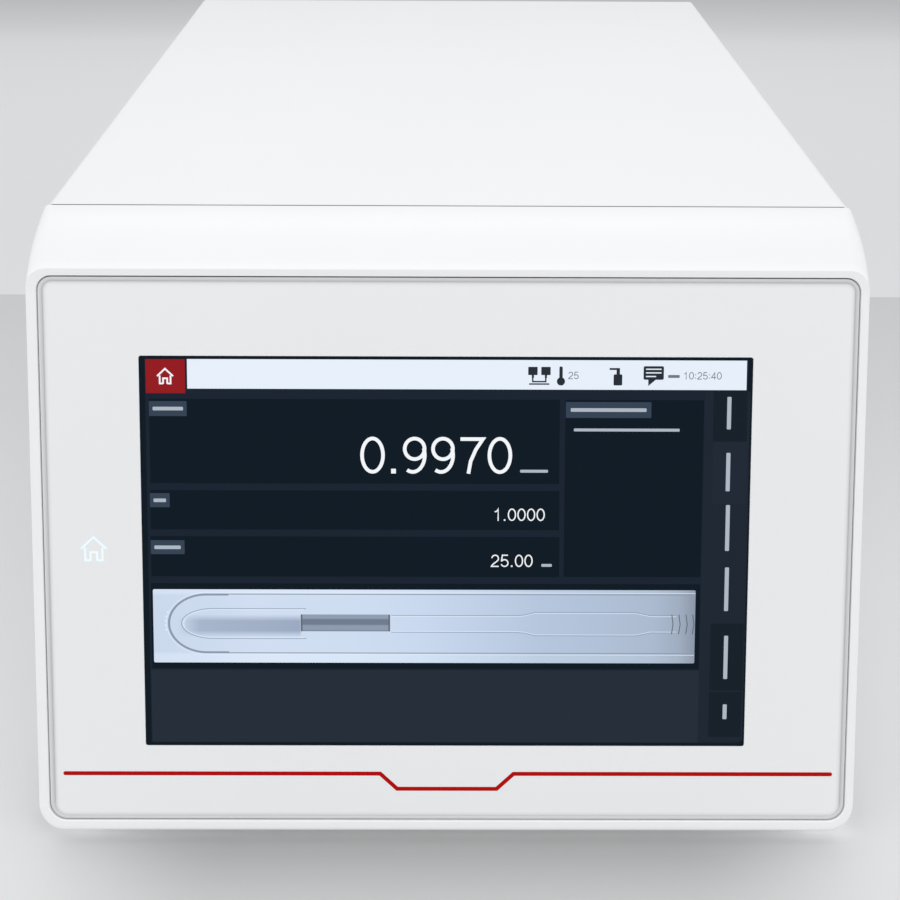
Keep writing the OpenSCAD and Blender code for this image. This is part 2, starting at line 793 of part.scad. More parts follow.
module cell_window() color("azure")
  translate([window_left - 1.8, cell_y + block_half_y - 2, cell_z - 10.8])
    cube([window_right - window_left + 3.6, 1.8, 21.6]);

module cell_lamp() color("palegoldenrod") {
  y0 = cell_y - block_half_y;
  translate([window_left - 2.8, y0 + 0.8, cell_z - 11.8])
    cube([window_right - window_left + 5.6, 1.6, 23.6]);
  for (k = [0 : 9])
    translate([window_left + 6 + 12 * k, y0 + 2.1, cell_z - 2]) cube([4, 1.2, 4]);
}

// Lens with a focus ring, its body and a square board behind it
module cell_camera() color("darkslategray") {
  y = camera_rear_y;
  rod_y(y - 30, y - 15, camera_x, cell_z, 7);
  rod_y(y - 28, y - 24, camera_x, cell_z, 8.5);
  translate([camera_x - 11, y - 16, cell_z - 11]) cube([22, 14.5, 22]);
  translate([camera_x - 18, y - 2, cell_z - 18]) cube([36, 2, 36]);
}

module camera_bracket() color("lightgray") difference() {
  w = 44;
  foot_l = 28;
  union() {
    translate([camera_x - w / 2, camera_rear_y, floor_top]) cube([w, sheet, 126]);
    translate([camera_x - w / 2, camera_rear_y + sheet - foot_l, floor_top])
      cube([w, foot_l, sheet]);
  }
  rod_y(camera_rear_y - 6, camera_rear_y + 4, camera_x, cell_z, 6);
  for (sx = [-1, 1])
    translate([camera_x + sx * 12, camera_rear_y - 16, floor_top - 1]) cylinder(r = 2.2, h = 4);
}

// ---- Air -----------------------------------------------------------------------------------

// Diaphragm head with a port at each end, its motor upright on top, on four rubber studs
module air_pump() color("darkslategray") {
  head_z = floor_top + 4;
  head_h = 30;
  motor_h = 34;
  translate([pump_x - 29, pump_y - 22, head_z]) cube([58, 44, head_h]);
  translate([pump_x, pump_y, head_z + head_h - 1]) {
    cylinder(r = 15, h = motor_h);
    translate([0, 0, motor_h - 1]) cylinder(r = 5, h = 5);
  }
  rod_x(pump_x - 37, pump_x - 28, pump_y, pump_port_z, 2.8);
  rod_x(pump_x + 28, pump_x + 36, pump_y, pump_port_z, 2.8);
  for (sx = [-1, 1], sy = [-1, 1])
    translate([pump_x + sx * 24, pump_y + sy * 17, floor_top]) cylinder(r = 4, h = 5);
}

module pump_hose() color("ghostwhite")
  lead([
    [pump_x - 37.1, pump_y, pump_port_z], [74, pump_y, pump_port_z], [60, -128.5, pump_port_z],
    [0, -129.5, 32], [-60, -130, 32], [-104, -131, 33], [-122, -131.5, 38],
    [-130.2, -129.5, 50], [-131.2, -123.5, 63], [-131.2, -117, 73], [-131.8, -113.6, 79.2],
    [-134.4, -112.3, 82.5], [-138.4, nozzle_y, nozzle_z],
    [nozzle_end_x + 0.2, nozzle_y, nozzle_z]
  ], 3, [0, 1, 0]);

// Tube through the rear panel that the drying cartridge slides into
module cartridge_holder() color("dimgray") {
  r = cartridge_d / 2;
  difference() {
    union() {
      rod_y(126, panel_rear_y + 1.5, cartridge_x, cartridge_z, r + 3);
      rod_y(panel_rear_y, panel_rear_y + 2, cartridge_x, cartridge_z, r + 7);
      rod_y(118, 127, cartridge_x, cartridge_z, 3);
    }
    rod_y(129, rear_y, cartridge_x, cartridge_z, r + 0.4);
    rod_y(110, 130, cartridge_x, cartridge_z, 1.5);
  }
}

// Cartridge with a finger bar in its sunk cap
module drying_cartridge() color("lightsteelblue") {
  r = cartridge_d / 2;
  difference() {
    union() {
      rod_y(131, panel_rear_y + 4.5, cartridge_x, cartridge_z, r);
      rod_y(panel_rear_y + 2.4, panel_rear_y + 4.5, cartridge_x, cartridge_z, r + 4);
    }
    difference() {
      rod_y(panel_rear_y - 8, rear_y, cartridge_x, cartridge_z, r - 4);
      translate([cartridge_x - 3, panel_rear_y - 9, cartridge_z - r]) cube([6, 13.5, 2 * r]);
    }
    rod_y(130, 134, cartridge_x, cartridge_z, 3);
    for (a = [0 : 30 : 330])
      translate([cartridge_x + (r + 4.3) * cos(a), panel_rear_y + 6, cartridge_z + (r + 4.3) * sin(a)])
        rotate([90, 0, 0]) cylinder(r = 1.1, h = 5, $fn = 16);
  }
}

module dryer_hose() color("ghostwhite")
  lead([
    [cartridge_x, 118, cartridge_z], [cartridge_x, 95, cartridge_z], [cartridge_x, 67, cartridge_z],
    [-122, 30, 147], [-114, -5, 138], [-110, -25, 131], [-110, -34, 130],
    [-110, cell_y + block_half_y + foam + 0.4, 130]
  ], 3, [0, 0, 1]);

// ---- Electrics -----------------------------------------------------------------------------

// Sheet case with two rows of air slots in its lid and a fixing tab at each side
module power_supply() color("silver") difference() {
  case_h = 44;
  tab_w = 6;
  union() {
    translate([supply_left, supply_front_y, floor_top]) cube([supply_w, 128, case_h]);
    for (x = [supply_left - tab_w + 1, supply_left + supply_w - 1])
      translate([x, supply_front_y + 14, floor_top]) cube([tab_w, 12, 2.5]);
  }
  for (k = [0 : 11], x = [6, 52])
    translate([supply_left + x, supply_front_y + 8 + 9 * k, floor_top + case_h - 4])
      cube([40, 4, 5]);
}

// Board with a cooled processor, memory, capacitors and two plug connectors
module main_board() color("seagreen") {
  chip = [-60, 150];
  top = board_z + 1.5;
  translate([board_left, board_front_y, board_z])
    cube([board_right - board_left, board_rear_y - board_front_y, 1.6]);
  translate([chip[0], chip[1], top]) cube([32, 32, 3]);
  for (k = [0 : 8]) translate([chip[0] + 1 + 3.6 * k, chip[1] + 1, top + 2.9]) cube([1.2, 30, 10]);
  for (k = [0 : 3]) translate([chip[0] + 40 + 14 * k, chip[1], top]) cube([9, 20, 2]);
  for (k = [0 : 4]) translate([board_left + 15 + 13 * k, 110, top]) cylinder(r = 4, h = 11);
  translate([10, 96, top]) cube([30, 8, 6]);
  translate([-50, 92, top]) cube([24, 8, 6]);
}

module board_standoffs() color("gold")
  for (x = [board_left + 6, board_right - 6], y = [92, 168, 244])
    translate([x, y, floor_top]) cylinder(r = 3, h = board_z - floor_top);

// Stacked pair of USB sockets
module usb_socket() color("silver") {
  x = usb_x;
  w = 14.5;
  y0 = 240;
  z0 = board_z + 1.6;
  difference() {
    translate([x - w / 2, y0, z0]) cube([w, panel_rear_y - y0 + 1, 15.5]);
    for (dz = [1.6, 9])
      translate([x - 6.2, y0 + 3, z0 + dz]) cube([12.4, 30, 5]);
  }
  for (dz = [1.6, 9])
    translate([x - 5.2, y0 + 2, z0 + dz + 2.6]) cube([10.4, 14, 1.8]);
}

module network_socket() color("silver") {
  x = network_x;
  w = 16;
  y0 = 236;
  z0 = board_z + 1.6;
  difference() {
    translate([x - w / 2, y0, z0]) cube([w, panel_rear_y - y0 + 1, 13.6]);
    translate([x - 5.9, y0 + 6, z0 + 1.6]) cube([11.8, 30, 8.2]);
    translate([x - 3, y0 + 6, z0 + 8]) cube([6, 30, 3.6]);
  }
}

// Rear inlet module: mains socket below, fuse drawer in the middle, rocker on top
module mains_inlet() color("black") {
  y0 = 224;
  flange_y = panel_rear_y + 2.5;
  difference() {
    union() {
      rear_plate(mains_x, mains_z, 28, 60, 1, y0, panel_rear_y);
      rear_plate(mains_x, mains_z, 33, 66, 2, panel_rear_y, flange_y);
    }
    difference() {
      rear_plate(mains_x, socket_z, 24.4, 16.8, 1.5, panel_rear_y - 14, rear_y);
      for (sx = [-1, 1])
        translate([mains_x + sx * 12.2, panel_rear_y - 15, socket_z + 8.4])
          rotate([-90, 0, 0]) cylinder(r = 4.5, h = 40, $fn = 4);
    }
    rear_plate(mains_x, fuse_z, 22.6, 8.2, 0.5, panel_rear_y - 26, rear_y);
    rear_plate(mains_x, rocker_z, 20.6, 20.2, 0.8, panel_rear_y - 20, rear_y);
    rod_x(mains_x - 12, mains_x + 12, panel_rear_y - 6, rocker_z, 1.56);
  }
  for (dx = [-7, 0, 7])
    translate([mains_x + dx - 1, panel_rear_y - 16, socket_z - 2 + (dx == 0 ? 3 : -1)])
      cube([2, 13, 4]);
  for (dx = [-8, 0, 8])
    translate([mains_x + dx - 3.1, y0 - 6, mains_z - 1]) cube([6.2, 7, 0.8]);
}

module fuse_drawer() color("darkslategray") difference() {
  union() {
    rear_plate(mains_x, fuse_z, 22, 7.6, 0.5, panel_rear_y - 25, panel_rear_y + 2);
    rear_plate(mains_x, fuse_z, 25.6, 8.6, 0.8, panel_rear_y + 2.8, panel_rear_y + 4);
    rear_plate(mains_x, fuse_z, 20, 7, 0.8, panel_rear_y + 1.9, panel_rear_y + 2.9);
  }
  for (sx = [-1, 1])
    rod_y(panel_rear_y - 22, panel_rear_y - 4, mains_x + sx * 5.5, fuse_z, 2.6);
  rear_plate(mains_x, fuse_z + 2.6, 8, 2.2, 0.4, panel_rear_y + 3.2, rear_y);
}

// Two-position rocker on a cross pin, its face a shallow valley
module mains_rocker() color("black") {
  pivot_y = panel_rear_y - 6;
  end_z = 8.4;
  end_y = 8.8;
  valley_y = end_y - end_z * tan(rocker_tilt);
  translate([mains_x, pivot_y, rocker_z])
    rotate([rocker_tilt, 0, 0]) {
      side_profile(19.6)
        polygon([
          [-4, -5], [4, -end_z + 0.2], [end_y, -end_z], [valley_y, 0],
          [end_y, end_z], [4, end_z - 0.2], [-4, 5]
        ]);
      rod_x(-11.4, 11.4, 0, 0, 1.5);
    }
}

module fan_frame() color("black") {
  r = fan_size / 2 - 1.6;
  hub_r = 17;
  y1 = fan_front_y + fan_depth;
  difference() {
    rear_plate(fan_x, fan_z, fan_size, fan_size, 4, fan_front_y, y1);
    rod_y(fan_front_y - 1, y1 + 1, fan_x, fan_z, r);
    for (sx = [-1, 1], sz = [-1, 1])
      rod_y(fan_front_y - 1, y1 + 1, fan_x + sx * fan_bolt, fan_z + sz * fan_bolt, 2.2);
    difference() {
      rear_plate(fan_x, fan_z, fan_size + 1, fan_size + 1, 4, fan_front_y + 4, y1 - 4);
      rod_y(fan_front_y, y1, fan_x, fan_z, r + 1.6);
      for (sx = [-1, 1], sz = [-1, 1])
        rod_y(fan_front_y, y1, fan_x + sx * fan_bolt, fan_z + sz * fan_bolt, 4);
    }
  }
  difference() {
    union() {
      rod_y(fan_front_y, fan_front_y + 4, fan_x, fan_z, hub_r);
      for (a = [45 : 90 : 315])
        translate([fan_x, fan_front_y, fan_z]) rotate([0, a, 0])
          translate([hub_r - 1, 0, -1.5]) cube([r - hub_r + 1.6, 3.5, 3]);
    }
    rod_y(fan_front_y - 1, fan_front_y + 5, fan_x, fan_z, 1.55);
  }
}

module fan_rotor() color("dimgray") {
  tip_r = fan_size / 2 - 2.6;
  hub_r = 17;
  hub_y = fan_front_y + 4.6;
  blade_y = fan_front_y + fan_depth - 11;
  rod_y(hub_y, fan_front_y + fan_depth - 1, fan_x, fan_z, hub_r);
  rod_y(fan_front_y + 0.2, hub_y + 1, fan_x, fan_z, 1.5);
  intersection() {
    difference() {
      rod_y(hub_y, fan_front_y + fan_depth - 1, fan_x, fan_z, tip_r);
      rod_y(hub_y - 1, fan_front_y + fan_depth, fan_x, fan_z, hub_r - 1);
    }
    for (k = [0 : fan_blades - 1])
      translate([fan_x, blade_y, fan_z])
        rotate([0, k * 360 / fan_blades, 0])
          rotate([42, 0, 0])
            translate([0, -0.9, -15]) cube([tip_r + 4, 1.8, 30]);
  }
}

// Wire finger guard outside the rear panel
module fan_guard() color("silver") {
  wire = 0.9;
  y = panel_rear_y + 1.2;
  reach = fan_bolt * sqrt(2);
  for (r = [12, 21, 30, fan_size / 2 - 1])
    translate([fan_x, y, fan_z]) rotate([90, 0, 0])
      rotate_extrude() translate([r, 0]) circle(wire);
  for (a = [45, 135])
    translate([fan_x, y + 1.2, fan_z]) rotate([0, a, 0])
      translate([-reach, 0, 0]) rotate([0, 90, 0]) cylinder(r = wire, h = 2 * reach);
  for (sx = [-1, 1], sz = [-1, 1])
    difference() {
      rod_y(panel_rear_y, panel_rear_y + 3, fan_x + sx * fan_bolt, fan_z + sz * fan_bolt, 4);
      rod_y(panel_rear_y + 2, rear_y, fan_x + sx * fan_bolt, fan_z + sz * fan_bolt, 2.6);
    }
}

module display_cable() color("dimgray")
  lead([
    [30, -206.1, 66.3], [30, -201, 63.4], [31, -194, 60], [52, -172, 64], [72, -140, 80],
    [78, -90, 96], [86, 0, 100], [98, 50, 98.6], [98, 67, 98], [82, 82, 90], [52, 92, 68],
    [32, 99, 50], [25, 100, 40], [25, 100, 36], [25, 100, board_z + 7.6]
  ], 2.5, [1, 0, 0]);

// ---- Assembly ------------------------------------------------------------------------------

top_cover();
front_bezel();
front_panel();
panel_seal();
touch_glass();
screen_module();
screen_bracket();
screen_screws();
screen_board();
key_sensor();
key_light_guide();
base_tray();
rear_panel();
bulkhead();
foot_front_left();
foot_front_right();
foot_rear_left();
foot_rear_right();
foot_screws();
cover_screws();
bezel_screws();
port_tray();
port_block();
inlet_adapter();
outlet_adapter();
adapter_seals();
air_nozzle();
u_tube();
cell_jacket();
tube_magnet();
drive_coils();
cell_block_front();
cell_block_rear();
block_screws();
peltier_elements();
heat_sink();
cell_posts();
cell_insulation();
temperature_probe();
cell_window();
cell_lamp();
cell_camera();
camera_bracket();
air_pump();
pump_hose();
cartridge_holder();
drying_cartridge();
dryer_hose();
power_supply();
main_board();
board_standoffs();
usb_socket();
network_socket();
mains_inlet();
fuse_drawer();
mains_rocker();
fan_frame();
fan_rotor();
fan_guard();
display_cable();
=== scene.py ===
# %% [markdown]
# # A benchtop density meter over its CAD model
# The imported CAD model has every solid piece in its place, in metres. This lesson moulds the white
# casing again with fine edge radii, lights the touch screen, prints the front panel and gives every
# piece a finish made from shader nodes.

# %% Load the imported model
import json
import math
import bpy
import bmesh
from mathutils import Matrix, Vector

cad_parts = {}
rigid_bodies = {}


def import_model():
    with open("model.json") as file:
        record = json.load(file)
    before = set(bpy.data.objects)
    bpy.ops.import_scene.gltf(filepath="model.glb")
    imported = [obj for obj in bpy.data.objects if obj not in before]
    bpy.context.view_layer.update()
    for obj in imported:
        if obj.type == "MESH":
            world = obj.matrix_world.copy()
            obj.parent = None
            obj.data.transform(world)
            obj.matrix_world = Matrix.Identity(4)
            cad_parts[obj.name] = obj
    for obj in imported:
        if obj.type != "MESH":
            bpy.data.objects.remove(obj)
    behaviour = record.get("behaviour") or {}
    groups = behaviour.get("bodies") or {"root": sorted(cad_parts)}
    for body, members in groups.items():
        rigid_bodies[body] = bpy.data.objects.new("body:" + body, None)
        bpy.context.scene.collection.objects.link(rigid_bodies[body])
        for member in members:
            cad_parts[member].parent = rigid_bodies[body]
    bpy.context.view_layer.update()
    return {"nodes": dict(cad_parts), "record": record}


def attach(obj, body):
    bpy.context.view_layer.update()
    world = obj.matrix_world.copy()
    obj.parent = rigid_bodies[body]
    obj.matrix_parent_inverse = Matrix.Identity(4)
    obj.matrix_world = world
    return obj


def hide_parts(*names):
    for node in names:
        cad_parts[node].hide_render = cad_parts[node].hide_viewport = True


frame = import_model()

# %% [markdown]
# ## The camera
# The photograph was taken from just above the front, looking down by 35 degrees. The camera's place
# was worked out from the casing's edges, whose real lengths are known. A view is three directions:
# forward, right and up.

# %% Place the camera
MM = 0.001


def add_object(name, data):
    made = bpy.data.objects.new(name, data)
    bpy.context.scene.collection.objects.link(made)
    return made


PITCH, YAW, ROLL = 0.60429, 0.00492, 0.0055
FOCAL_PIXELS, PICTURE_PIXELS, SENSOR = 1115.33, 900, 36
CAMERA_AT = (-0.9549, -563.258, 416.059)

forward = Vector((math.sin(YAW) * math.cos(PITCH), math.cos(YAW) * math.cos(PITCH), -math.sin(PITCH)))
level_right = Vector((math.cos(YAW), -math.sin(YAW), 0))
level_up = level_right.cross(forward)
right = math.cos(ROLL) * level_right + math.sin(ROLL) * level_up
up = math.cos(ROLL) * level_up - math.sin(ROLL) * level_right

lens = bpy.data.cameras.new("studio_camera")
lens.sensor_width = SENSOR
lens.lens = FOCAL_PIXELS / PICTURE_PIXELS * SENSOR
camera = add_object("studio_camera", lens)
camera.matrix_world = Matrix((right, up, -forward)).transposed().to_4x4()
camera.location = Vector(CAMERA_AT) * MM
bpy.context.scene.camera = camera
print("lens in mm", round(lens.lens, 2))

# %% [markdown]
# ## A shader as plain Python
# A finish is a few textures that steer one Principled shader. Wiring nodes by hand hides the idea,
# so one small class wraps a socket: `1 - mask * 0.3` then builds the Math nodes by itself.

# %% A socket to calculate with
class Value:
    def __init__(self, finish, socket):
        self.finish, self.socket = finish, socket

    def math(self, operation, first, second):
        return self.finish.node("ShaderNodeMath", {"operation": operation}, {0: first, 1: second})

    def __add__(self, other):
        return self.math("ADD", self, other)

    def __sub__(self, other):
        return self.math("SUBTRACT", self, other)

    def __rsub__(self, other):
        return self.math("SUBTRACT", other, self)

    def __mul__(self, other):
        return self.math("MULTIPLY", self, other)

    def __truediv__(self, number):
        return self * (1 / number)

    def __gt__(self, other):
        return self.math("GREATER_THAN", self, other)

    def ease(self, start, end, kind="LINEAR"):
        """0 at the start and 1 at the end."""
        settings = {"interpolation_type": kind}
        return self.finish.node("ShaderNodeMapRange", settings, {0: self, 1: start, 2: end})

    def __abs__(self):
        return self.math("ABSOLUTE", self, 0)


# %% A finish: one material and its shader
def linear(red, green, blue):
    """A colour as the eye reads it from a picture, 0 to 255, turned into light."""
    parts = [c / 255 for c in (red, green, blue)]
    return tuple(c / 12.92 if c <= 0.04045 else ((c + 0.055) / 1.055) ** 2.4 for c in parts) + (1,)


def dimmed(colour, share):
    return tuple(c * share for c in colour[:3]) + (1,)


class Finish:
    made = {}

    def __init__(self, name, **sockets):
        self.material = bpy.data.materials.new(name)
        self.material.use_nodes = True
        self.tree = self.material.node_tree
        self.shader = self.tree.nodes["Principled BSDF"]
        self.place = None
        for socket, value in sockets.items():
            self.shader.inputs[socket.replace("_", " ")].default_value = value
        Finish.made[name] = self

    def node(self, kind, settings=(), inputs=(), output=0):
        made = self.tree.nodes.new(kind)
        for key, value in dict(settings).items():
            setattr(made, key, value)
        for key, value in dict(inputs).items():
            self.feed(made.inputs[key], value)
        return Value(self, made.outputs[output])

    def feed(self, socket, value):
        if isinstance(value, Value):
            self.tree.links.new(value.socket, socket)
        else:
            socket.default_value = value

    def set(self, socket, value):
        self.feed(self.shader.inputs[socket], value)
        return self

    def where(self):
        if self.place is None:
            self.place = self.node("ShaderNodeTexCoord", output="Object")
        return self.place

    def axis(self, letter):
        return self.node("ShaderNodeSeparateXYZ", {}, {0: self.where()}, output=letter)

    def noise(self, scale, detail=3, where=None, roughness=0.55):
        inputs = {"Vector": where or self.where(), "Scale": scale, "Detail": detail, "Roughness": roughness}
        return self.node("ShaderNodeTexNoise", {}, inputs)

    def cells(self, scale, feature="F1"):
        inputs = {"Vector": self.where(), "Scale": scale}
        return self.node("ShaderNodeTexVoronoi", {"feature": feature}, inputs)

    def ramp(self, value, *stops):
        made = self.node("ShaderNodeValToRGB", {}, {"Fac": value})
        elements = made.socket.node.color_ramp.elements
        while len(elements) < len(stops):
            elements.new(0.5)
        for element, (position, colour) in zip(elements, stops):
            element.position, element.color = position, colour
        return made

    def between(self, mask, low, high, blend="MIX"):
        settings = {"data_type": "RGBA", "blend_type": blend}
        return self.node("ShaderNodeMix", settings, {0: mask, 6: low, 7: high}, output=2)

    def bump(self, height, distance):
        inputs = {"Height": height, "Distance": distance * MM}
        return self.set("Normal", self.node("ShaderNodeBump", {}, inputs))


print("finish tools are ready")

# %% [markdown]
# ## Moulded plastics
# A moulded casing is never one flat colour. Each plastic has three layers of noise: a wide one for
# the pigment's drift, a middle one for the gloss and a fine one for the tool's grain.

# %% One recipe for all plastics
def plastic(name, colour, gloss, grain, drift=0.03):
    finish, colour = Finish(name, Roughness=gloss), (*colour, 1)
    finish.set("Base Color", finish.between(finish.noise(7, detail=2), dimmed(colour, 1 - drift), colour))
    finish.set("Roughness", finish.noise(60) * 0.12 + (gloss - 0.06))
    return finish.bump(finish.noise(1500, detail=2), grain)


for recipe in (
        ("casing_white", (0.86, 0.863, 0.872), 0.42, 0.010),
        ("bezel_white", (0.862, 0.864, 0.868), 0.38, 0.007),
        ("panel_grey_white", (0.795, 0.798, 0.805), 0.46, 0.006, 0.015),
        ("seal_grey", (0.30, 0.30, 0.305), 0.7, 0.02),
        ("niche_charcoal", (0.055, 0.06, 0.068), 0.5, 0.02, 0.15),
        ("adapter_blue_grey", (0.30, 0.36, 0.44), 0.33, 0.006, 0.08),
        ("moulded_black", (0.022, 0.023, 0.025), 0.4, 0.015, 0.2),
        ("rocker_black", (0.016, 0.016, 0.018), 0.3, 0.008, 0.2),
        ("fan_black", (0.030, 0.031, 0.033), 0.48, 0.015, 0.2),
        ("cartridge_smoke", (0.20, 0.25, 0.31), 0.26, 0.006, 0.1),
        ("peltier_white", (0.70, 0.70, 0.68), 0.6, 0.01),
        ("cable_grey", (0.09, 0.09, 0.095), 0.55, 0.02),
        ("light_guide_milk", (0.80, 0.86, 0.90), 0.2, 0.004),
        ("hose_clear", (0.62, 0.66, 0.68), 0.25, 0.004)):
    plastic(*recipe)
print("plastics", len(Finish.made))

# %% [markdown]
# ## Metals
# Sheet steel is powder coated, which leaves a skin like orange peel. Machined blocks stay bare, and
# the cutter leaves fine parallel lines: a noise squeezed along one axis draws them.

# %% Powder coat
coat, coat_grey = Finish("sheet_grey", Roughness=0.5), (0.56, 0.57, 0.58, 1)
coat.set("Base Color", coat.between(coat.noise(9), dimmed(coat_grey, 0.94), coat_grey))
coat.set("Roughness", coat.noise(220) * 0.14 + 0.43)
coat.bump(coat.noise(900, detail=2), 0.035)


# %% Bare metal with tool marks along one axis
def bare_metal(name, colour, gloss, marks=(40, 3000, 3000)):
    finish, colour = Finish(name, Metallic=1.0, Roughness=gloss), (*colour, 1)
    squeezed = finish.node("ShaderNodeMapping", {}, {"Vector": finish.where(), "Scale": marks})
    lines = finish.noise(1, detail=4, where=squeezed, roughness=0.7)
    finish.set("Base Color", finish.between(lines, dimmed(colour, 0.82), colour))
    finish.set("Roughness", lines * 0.22 + (gloss - 0.1))
    return finish.bump(lines, 0.008)


for recipe in (
        ("screw_zinc", (0.66, 0.67, 0.68), 0.3, (2200, 2200, 2200)),
        ("milled_aluminium", (0.72, 0.73, 0.74), 0.36),
        ("nozzle_steel_bright", (0.62, 0.62, 0.61), 0.22, (60, 2500, 2500)),
        ("magnet_grey", (0.40, 0.40, 0.42), 0.38),
        ("socket_tin", (0.66, 0.66, 0.65), 0.3, (2600, 50, 2600)),
        ("standoff_brass", (0.72, 0.55, 0.26), 0.3, (2200, 2200, 80))):
    bare_metal(*recipe)
print("metals are ready")

# %% [markdown]
# ## Rubber, foam, wire, boards and glass
# Rubber is dull with a fine pitted skin, and foam is a sponge of round cells. A coil is a wire laid
# turn by turn, so a fine wave runs round it. A grid of cells imitates the copper tracks of a board.

# %% Rubber and foam
rubber = Finish("foot_rubber_black", Roughness=0.8)
rubber.set("Base Color", rubber.between(rubber.noise(40), (0.016, 0.016, 0.017, 1), (0.034, 0.034, 0.036, 1)))
rubber.bump(rubber.noise(2400), 0.05)

sponge = Finish("foam_grey", Roughness=0.95)
pores = sponge.cells(1400)
sponge.set("Base Color", sponge.ramp(pores, (0.1, (0.07, 0.07, 0.075, 1)), (0.6, (0.16, 0.16, 0.17, 1))))
sponge.bump(pores, 0.25)

# %% Copper wire and the green board
coil = Finish("coil_copper_wire", Metallic=1.0, Roughness=0.3)
turns = coil.node("ShaderNodeTexWave", {"bands_direction": "Z"},
                  {"Vector": coil.where(), "Scale": 420.0, "Distortion": 0.4})
coil.set("Base Color", coil.ramp(turns, (0.0, (0.30, 0.09, 0.03, 1)), (0.6, (0.80, 0.35, 0.16, 1))))
coil.bump(turns, 0.15)

board = Finish("board_green", Roughness=0.35)
tracks = board.cells(190, feature="DISTANCE_TO_EDGE")
board.set("Base Color", board.ramp(tracks, (0.03, (0.10, 0.30, 0.12, 1)), (0.09, (0.012, 0.10, 0.045, 1))))
board.bump(tracks > 0.05, 0.03)

# %% Glass of the measuring cell
cell_glass = Finish("cell_glass_clear", Roughness=0.02, IOR=1.47, Transmission_Weight=1.0)
cell_glass.set("Base Color", cell_glass.between(cell_glass.noise(25), (0.93, 0.97, 0.96, 1), (0.99, 1, 1, 1)))
print("finishes so far", len(Finish.made))

# %% [markdown]
# ## The touch glass
# A display that is off is black glass. Every lit shape is a very thin piece on it, with its own light
# and the same gloss as the glass. Without that gloss the shapes would look like stickers.

# %% Black glass and lit ink
GLASS_GLOSS, GLASS_SHINE = 0.08, 0.06
glass = Finish("touch_glass_black", Roughness=GLASS_GLOSS, Specular_IOR_Level=GLASS_SHINE)
glass.set("Base Color", glass.between(glass.noise(5), (0.003, 0.008, 0.014, 1), (0.004, 0.010, 0.017, 1)))
glass.set("Roughness", glass.noise(30) * 0.05 + (GLASS_GLOSS - 0.03))


def glowing(name, strength=1.0):
    """Gloss like the glass, with a light of its own."""
    return Finish(name, Base_Color=(0.002, 0.002, 0.003, 1), Roughness=GLASS_GLOSS,
                  Specular_IOR_Level=GLASS_SHINE, Emission_Strength=strength)


def lit(name, tone, drift=0.05, strength=1.0):
    """Light from behind the glass, in a colour that drifts a little."""
    finish, colour = glowing(name, strength), linear(*tone)
    drifting = finish.between(finish.noise(9, detail=1), dimmed(colour, 1 - drift), colour)
    return finish.set("Emission Color", drifting)


for name, tone in (
        ("screen_ground", (20, 32, 45)), ("screen_ground_low", (33, 43, 54)), ("screen_tile", (4, 20, 31)),
        ("screen_tab_mid", (27, 38, 50)), ("screen_chip", (51, 66, 83)), ("screen_tab", (15, 27, 37)),
        ("screen_column", (25, 35, 47)), ("screen_red", (148, 22, 27)), ("screen_label", (176, 186, 198)),
        ("screen_icon", (38, 44, 52)), ("screen_grey", (112, 120, 130)), ("film_line", (140, 152, 174)),
        ("film_shine", (230, 241, 253)), ("film_magnet_edge", (98, 104, 116))):
    lit(name, tone)
lit("screen_bar", (231, 240, 251), drift=0.02)
lit("screen_white", (244, 248, 251), drift=0.02)
lit("key_light", (226, 240, 255), strength=1.15)
print("finishes with inks", len(Finish.made))

# %% [markdown]
# ## Working on the leaning face
# The whole front leans back by 30 degrees. It is easier to draw on a flat sheet and lean it at the
# end, so front pieces are drawn in millimetres across and up the face, with a depth below its rim.

# %% From the sheet to the room
LEAN = math.radians(30)
SIN, COS = math.sin(LEAN), math.cos(LEAN)
FRONT_Y, TABLE_GAP = -263.0, 12.0
SIDE, HEIGHT, FACE = 173.5, 230.0, 237.0


def on_face(across, up_face, depth):
    y = FRONT_Y + up_face * SIN + depth * COS
    z = TABLE_GAP + up_face * COS - depth * SIN
    return Vector((across, y, z)) * MM


def new_mesh(name, points, faces):
    """A mesh whose faces all look outward."""
    mesh = bpy.data.meshes.new(name)
    mesh.from_pydata([tuple(p) for p in points], [], faces)
    work = bmesh.new()
    work.from_mesh(mesh)
    bmesh.ops.recalc_face_normals(work, faces=work.faces)
    work.to_mesh(mesh)
    work.free()
    return mesh


def place_mesh(name, mesh, finish, body="housing", sharp=None):
    """Gives a mesh its finish, smooths it up to an angle and lets it ride on a body."""
    if sharp:
        mesh.shade_smooth()
        mesh.set_sharp_from_angle(angle=math.radians(sharp))
    mesh.materials.append(Finish.made[finish].material)
    piece = add_object(name, mesh)
    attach(piece, body)
    return piece


def mesh_piece(name, points, faces, finish, slot, sharp=30):
    return place_mesh(name, new_mesh(name, points, faces), finish, sharp=sharp)


print("top of the face", on_face(0, FACE, 0))

# %% [markdown]
# ## Lofting closed loops
# The bezel and the panel are rings: a rounded rectangle that changes a little from one depth to the
# next. A loft joins the loops with four-sided faces, and a Bevel modifier rounds the edges.

# %% Loops, lofts and edge radii
CORNER_STEPS = 14


def arc(x, y, rx, ry, start, end, steps=26):
    angles = [math.radians(start + (end - start) * k / steps) for k in range(steps + 1)]
    return [(x + rx * math.cos(a), y + ry * math.sin(a)) for a in angles]


def quarters(*corners, steps=CORNER_STEPS):
    """Quarter turns, each from its centre, radius and first angle."""
    return [p for x, y, r, start in corners for p in arc(x, y, r, r, start, start + 90, steps)]


